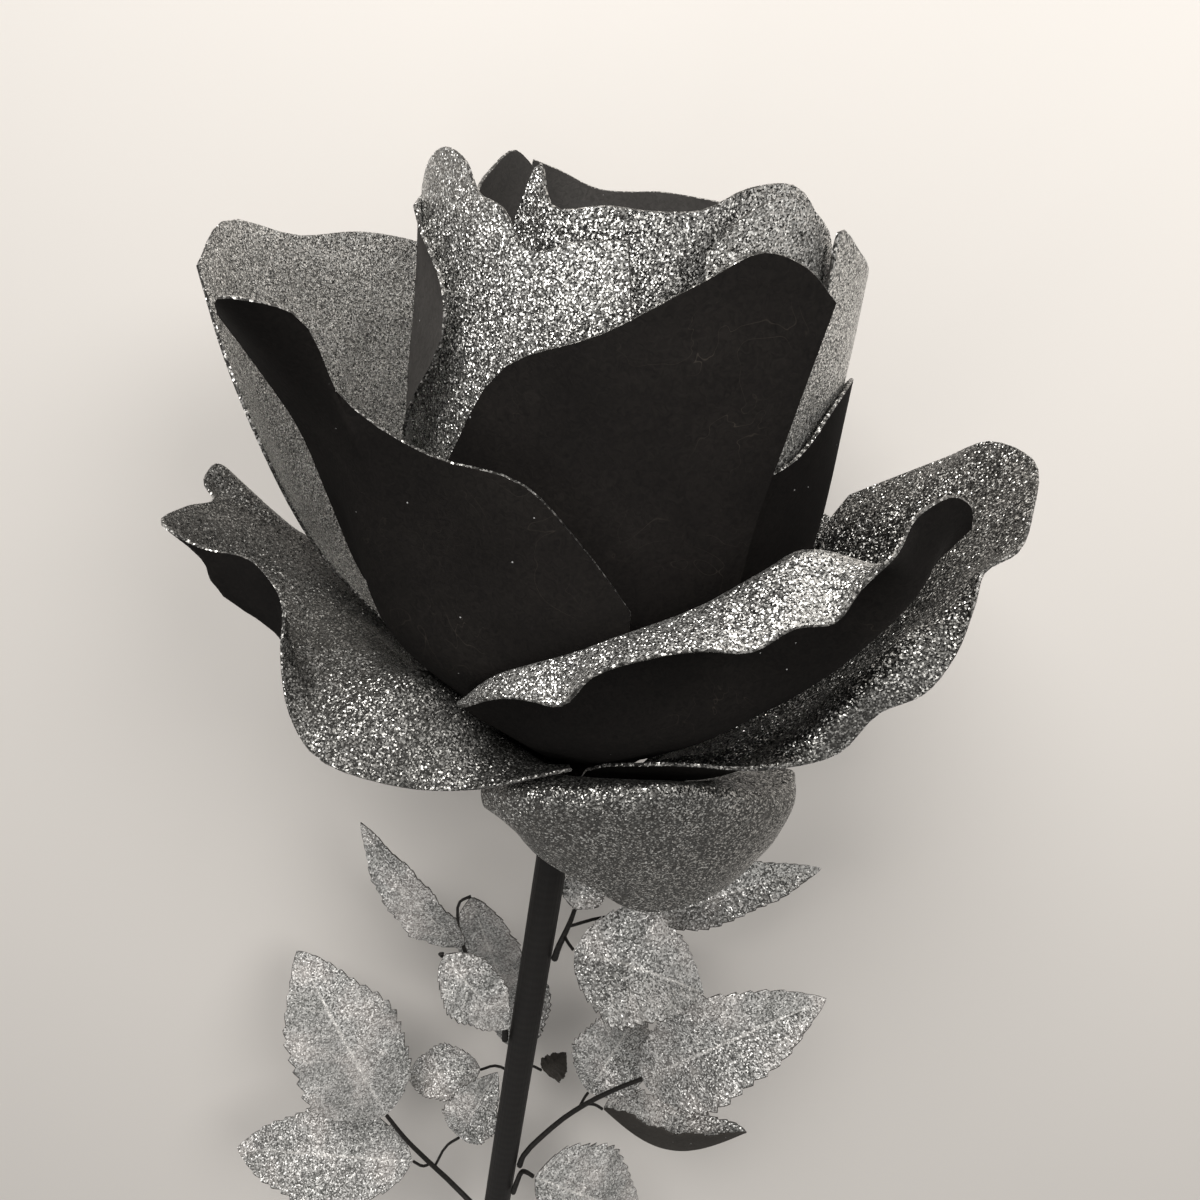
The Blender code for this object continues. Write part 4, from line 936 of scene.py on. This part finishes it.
# %% Make and dress the petals
fine_petals = []
for name, ring, ribs in PETALS:
    grid = hand_bent(finer(petal_grids[name], ACROSS_STEPS, ALONG_STEPS), HAND_WAVE)
    # painted light: the linings of the inner, bud and heart petals get the lighter copy of the black felt
    lining = felt_painted_lit if ring in ("inner", "bud", "heart") else black_felt
    # painted shade: the shaded lowest petals get the darker copy of the glitter
    glitter = painted_shade_glitter if name in PAINTED_SHADE_SHEETS else silver_glitter
    faces_out = (glitter, lining) if name in GLITTER_OUTSIDE else (lining, glitter)
    piece = sheet_piece(f"{name}_sheet", *fine_sheet(grid, PETAL_THICKNESS), (*faces_out, glitter_edge))
    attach(piece, "root")
    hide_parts(name)
    fine_petals.append(piece)
print("petals:", len(fine_petals), "with", sum(len(piece.data.polygons) for piece in fine_petals), "faces")

# %% [markdown]
# ## The leaves
#
# A leaf has a saw-toothed edge, and a midrib and side veins pressed into it. Its own mesh carries
# all of it: the teeth lean towards the tip, the sheet is puffed between the veins, and the margin ripples.
# An alpha cut-out on a flat card would be lighter, but its edge would have no thickness and would catch no
# light.

# %% The sprays that carry the leaves
# Leaf sprays: (name, degrees round the stem, height on the stem, wire, side stalks, leaves), in millimetres.
# The first leaf grows on the end of the wire and the others on the ends of the stalks, in their order.
# A leaf is (name, tip, width, degrees turned about its own line, arch, slope of its two halves).
SPRAYS = (
    ("upper_left", -75, -186, ((-24, 6, -164), (-34, 8, -146), (-38, 10, -138)),
        (((-33, 8, -148), (-44, 2, -140), (-48, -2, -133), (-46, -5, -129)),
         ((-34, 8, -147), (-43, 18, -131), (-44, 25, -123), (-39, 28, -121))),
        (("upper_left_long_leaf", (-97, 22, -79), 27, -35, 8, 0.3),
         ("upper_left_bright_leaf", (-8, -14, -163), 32, 10, 5, 0.3),
         ("upper_left_back_leaf", (-8, 36, -206), 34, 20, 5, 0.2))),
    ("upper_right", 70, -122, ((12, 0, -108), (14, 4, -102), (15, 8, -99)),
        (((13, 2, -105), (30, 10, -103), (53, 16, -107)),
         ((12, 0, -109), (14, -5, -108), (17, -9, -108))),
        (("upper_right_bud_leaf", (19, 24, -86), 24, 10, 3, 0.3),
         ("upper_right_far_leaf", (134, 32, -69), 28, 0, 10, 0.3),
         ("upper_right_broad_leaf", (82, -15, -116), 60, 0, 8, 0.3))),
    ("middle_right", 80, -288, ((24, 6, -262), (40, 5, -236), (56, 2, -214), (66, 0, -202)),
        (((37, 6, -241), (39, 11, -240), (41, 15, -240)),
         ((40, 5, -236), (45, 7, -238), (50, 8, -242))),
        (("middle_right_end_leaf", (149, 8, -131), 54, 0, 18, 0.3),
         ("middle_right_upper_leaf", (65, 46, -198), 46, 0, 6, 0.3),
         ("middle_right_curled_leaf", (131, 6, -239), 54, -49, -19, 1.8))),
    ("lower_left", -80, -346, ((-26, 6, -330), (-44, 6, -310), (-58, 4, -290), (-70, 4, -272)),
        (((-42, 8, -314), (-46, 4, -312), (-52, 2, -306)),
         ((-40, 8, -317), (-34, 10, -298), (-28, 10, -290))),
        (("lower_left_broad_leaf", (-136, 42, -197), 66, 0, 8, 0.25),
         ("lower_left_side_leaf", (-158, 5, -325), 56, 0, 8, 0.25),
         ("lower_left_inner_leaf", (-12, 26, -250), 34, 0, 5, 0.3))),
    ("lower_right", 60, -308, ((11, -2, -294), (14, -5, -288), (18, -8, -286)),
        (),
        (("lower_right_broad_leaf", (84, 2, -322), 60, 0, 7, 0.25),)),
    ("back", 165, -262, ((-2, 16, -250), (-4, 24, -240), (-6, 30, -232)),
        (((-3, 20, -245), (6, 26, -240), (13, 29, -246)),
         ((-3, 22, -243), (-14, 30, -250), (-22, 32, -258))),
        (("back_upper_leaf", (-2, 58, -178), 36, 0, 5, 0.3),
         ("back_small_leaf", (26, 40, -242), 20, 150, 3, 0.3),
         ("back_lower_leaf", (-66, 36, -280), 32, 0, 5, 0.3))),
)
MILLIMETRE = 0.001
WIRE_RISE = 9
LEAF_FACES = (0, -0.57, 0.82)
LEAF_FOOT_WIDTH = 0.003
LEAF_TOOTH = 0.10
print("sprays:", len(SPRAYS), "leaves:", sum(len(spray[5]) for spray in SPRAYS))

# %% The shape of one leaf
LEAF_ROWS, LEAF_COLUMNS = 97, 17
LEAF_SAW = 13
LEAF_TIP_WIDTH = 0.0005
VEIN_PUFF = 0.0006
MARGIN_RIPPLE = 0.0011


def leaf_surface(length, width, arch, slope, luck):
    """A leaf along +Y from its foot, its two halves sloping up from the midrib."""
    along = np.linspace(0, 1, LEAF_ROWS)[None, :]
    side = np.linspace(-1, 1, LEAF_COLUMNS)[:, None]
    reach = np.abs(side)
    full = np.clip(np.sin(np.pi * along**0.8), 0, 1) ** 0.8
    shift = np.where(side < 0, luck.random(), luck.random())
    saw = (along * LEAF_SAW * (1 + 0.15 * along) + shift) % 1
    tooth = 1 - LEAF_TOOTH * (0.45 + 0.9 * (1 - saw) ** 1.2 - 0.35)
    uneven = 1 + 0.05 * np.sin(2 * np.pi * (along * 2.3 + shift))
    half = width / 2 * full * uneven * (1 + (tooth - 1) * reach**3)
    slim = LEAF_FOOT_WIDTH / 2 * (1 - along) + LEAF_TIP_WIDTH / 2 * along
    half = np.maximum(half, slim)
    flat = half / math.hypot(1, slope)
    ripple = MARGIN_RIPPLE * reach**2 * np.sin(2 * np.pi * (along * 4.5 + shift * 3)) * full
    veins = (along - VEIN_SWEEP * reach) * SIDE_VEINS
    fade = np.clip(reach * 3, 0, 1) * (1 - 0.6 * reach) * full
    puff = -VEIN_PUFF * np.cos(2 * np.pi * (veins - 0.5)) * fade
    rise = arch * np.sin(np.pi * along) + slope * reach * flat + ripple - puff
    forward = length * (along - 0.02 * reach * full)
    grid = np.stack([side * flat, forward + 0 * side, rise + 0 * side], axis=-1)
    return grid, np.stack([(side + 1) / 2 + 0 * along, along + 0 * side], axis=-1)


print("a leaf has", LEAF_ROWS * LEAF_COLUMNS, "points a side and", LEAF_SAW, "teeth an edge")

# %% Put the leaves on their wires
WIRE_STEPS = 3


def add_leaf(name, tip, width, turn, arch, slope, end, onward, radius, luck):
    end, tip, onward = Vector(end), Vector(tip) * MILLIMETRE, Vector(onward).normalized()
    ahead = (tip - end).normalized()
    face = Vector(LEAF_FACES)
    face = (face - ahead * face.dot(ahead)).normalized()
    face = Matrix.Rotation(math.radians(turn), 3, ahead) @ face
    clear = SEAT_GAP + 1.2 * radius * math.sqrt(max(0, 1 - onward.dot(ahead) ** 2))
    grid, leaf_map = leaf_surface(
        (tip - end).length - clear, width * MILLIMETRE, arch * MILLIMETRE, slope, luck,
    )
    points, faces, part = fine_sheet(grid, LEAF_THICKNESS)
    turned = np.array(Matrix((ahead.cross(face), ahead, face)).transposed())
    piece = sheet_piece(
        f"{name}_sheet", points @ turned.T + np.array(end + ahead * clear), faces, np.minimum(part, 1),
        (leaf_glitter, leaf_back),
    )
    corner_map = leaf_map.reshape(-1, 2)
    spread = np.concatenate([corner_map, corner_map, np.zeros((len(points) - 2 * len(corner_map), 2))])
    layer = piece.data.uv_layers.new(name="leaf_map")
    layer.data.foreach_set("uv", spread[faces.reshape(-1)].ravel())
    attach(piece, "root")
    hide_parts(name)
    return piece


fine_leaves = []
luck = np.random.default_rng(7)
for spray, turn, height, wire, stalks, leaves in SPRAYS:
    rooted = STEM_RADIUS + SEAT_GAP + 1.6 * WIRE_RADIUS
    root = on_ring(turn, rooted, height * MILLIMETRE)
    away = on_ring(turn, rooted + WIRE_RADIUS, (height + WIRE_RISE) * MILLIMETRE)
    route = np.vstack([root, away, np.array(wire) * MILLIMETRE])
    route = smooth_through(route, [WIRE_STEPS] * (len(route) - 1))
    ends = [(route[-1], route[-1] - route[-2], WIRE_RADIUS)]
    for stalk in stalks:
        side_route = smooth_through(np.array(stalk) * MILLIMETRE, [WIRE_STEPS] * (len(stalk) - 1))
        ends.append((side_route[-1], side_route[-1] - side_route[-2], STALK_RADIUS))
    for end, leaf in zip(ends, leaves):
        fine_leaves.append(add_leaf(*leaf, *end, luck))
print("leaves:", len(fine_leaves), "with", sum(len(piece.data.polygons) for piece in fine_leaves), "faces")

# %% [markdown]
# ## The studio
#
# Glitter needs something to reflect: under one even white sky it would look like grey paint. A broad soft
# lamp hangs beyond the bud and to its left, a smaller one is on the right, a weak one is over the leaves,
# and the sky is dim. Flakes that lean the right way mirror a lamp and flash, and the others stay dark. The
# floor is plain and pale, and its paleness is its own colour, not extra light on the rose.

# %% Floor and backdrop
FLOOR_DROP = 0.0002


def plain_floor(name, half_width, colour):
    mesh = bpy.data.meshes.new(name)
    corners = [(x * half_width, y * half_width, -FLOOR_DROP) for x, y in ((-1, -1), (1, -1), (1, 1), (-1, 1))]
    mesh.from_pydata(corners, [], [(0, 1, 2, 3)])
    made = bpy.data.objects.new(name, mesh)
    bpy.context.scene.collection.objects.link(made)
    finish, tree, shader = new_finish(name, roughness=0.7)
    where = tree.nodes.new("ShaderNodeTexCoord")
    clouds = tree.nodes.new("ShaderNodeTexNoise")
    clouds.inputs["Scale"].default_value = 1.5
    tree.links.new(where.outputs["Object"], clouds.inputs["Vector"])
    paler = tuple(value * 1.06 for value in colour)
    tree.links.new(mix_colours(tree, clouds.outputs["Fac"], colour, paler), shader.inputs["Base Color"])
    mesh.materials.append(finish)
    return made


floor = plain_floor("pale_floor", 4.0, (0.60, 0.573, 0.545))
print("floor is", floor.dimensions.x, "m wide")

# %% Lamps and sky
def soft_lamp(name, place, aim, size, watts, colour=(1.0, 0.98, 0.95)):
    data = bpy.data.lights.new(name, "AREA")
    data.shape = "DISK"
    data.size = size
    data.energy = watts
    data.color = colour
    made = bpy.data.objects.new(name, data)
    bpy.context.scene.collection.objects.link(made)
    made.location = place
    made.rotation_euler = (Vector(aim) - Vector(place)).to_track_quat("-Z", "Y").to_euler()
    return made


head = Vector(lie((0, 0, 0.12)))
soft_lamp("key_lamp", head + Vector((-0.30, 0.90, 0.78)), head, 0.8, 15.5)
soft_lamp("right_lamp", head + Vector((0.60, 0.60, 0.95)), head, 0.6, 9)
soft_lamp("leaf_lamp", head + Vector((-0.5, -0.8, 1.1)), head - Vector((0, 0.3, 0)), 0.5, 2)
sky = bpy.data.worlds.new("studio_sky")
sky.use_nodes = True
sky.node_tree.nodes["Background"].inputs["Color"].default_value = (1.0, 0.99, 0.97, 1)
sky.node_tree.nodes["Background"].inputs["Strength"].default_value = 0.38
bpy.context.scene.world = sky
bpy.context.scene.view_settings.view_transform = "Standard"
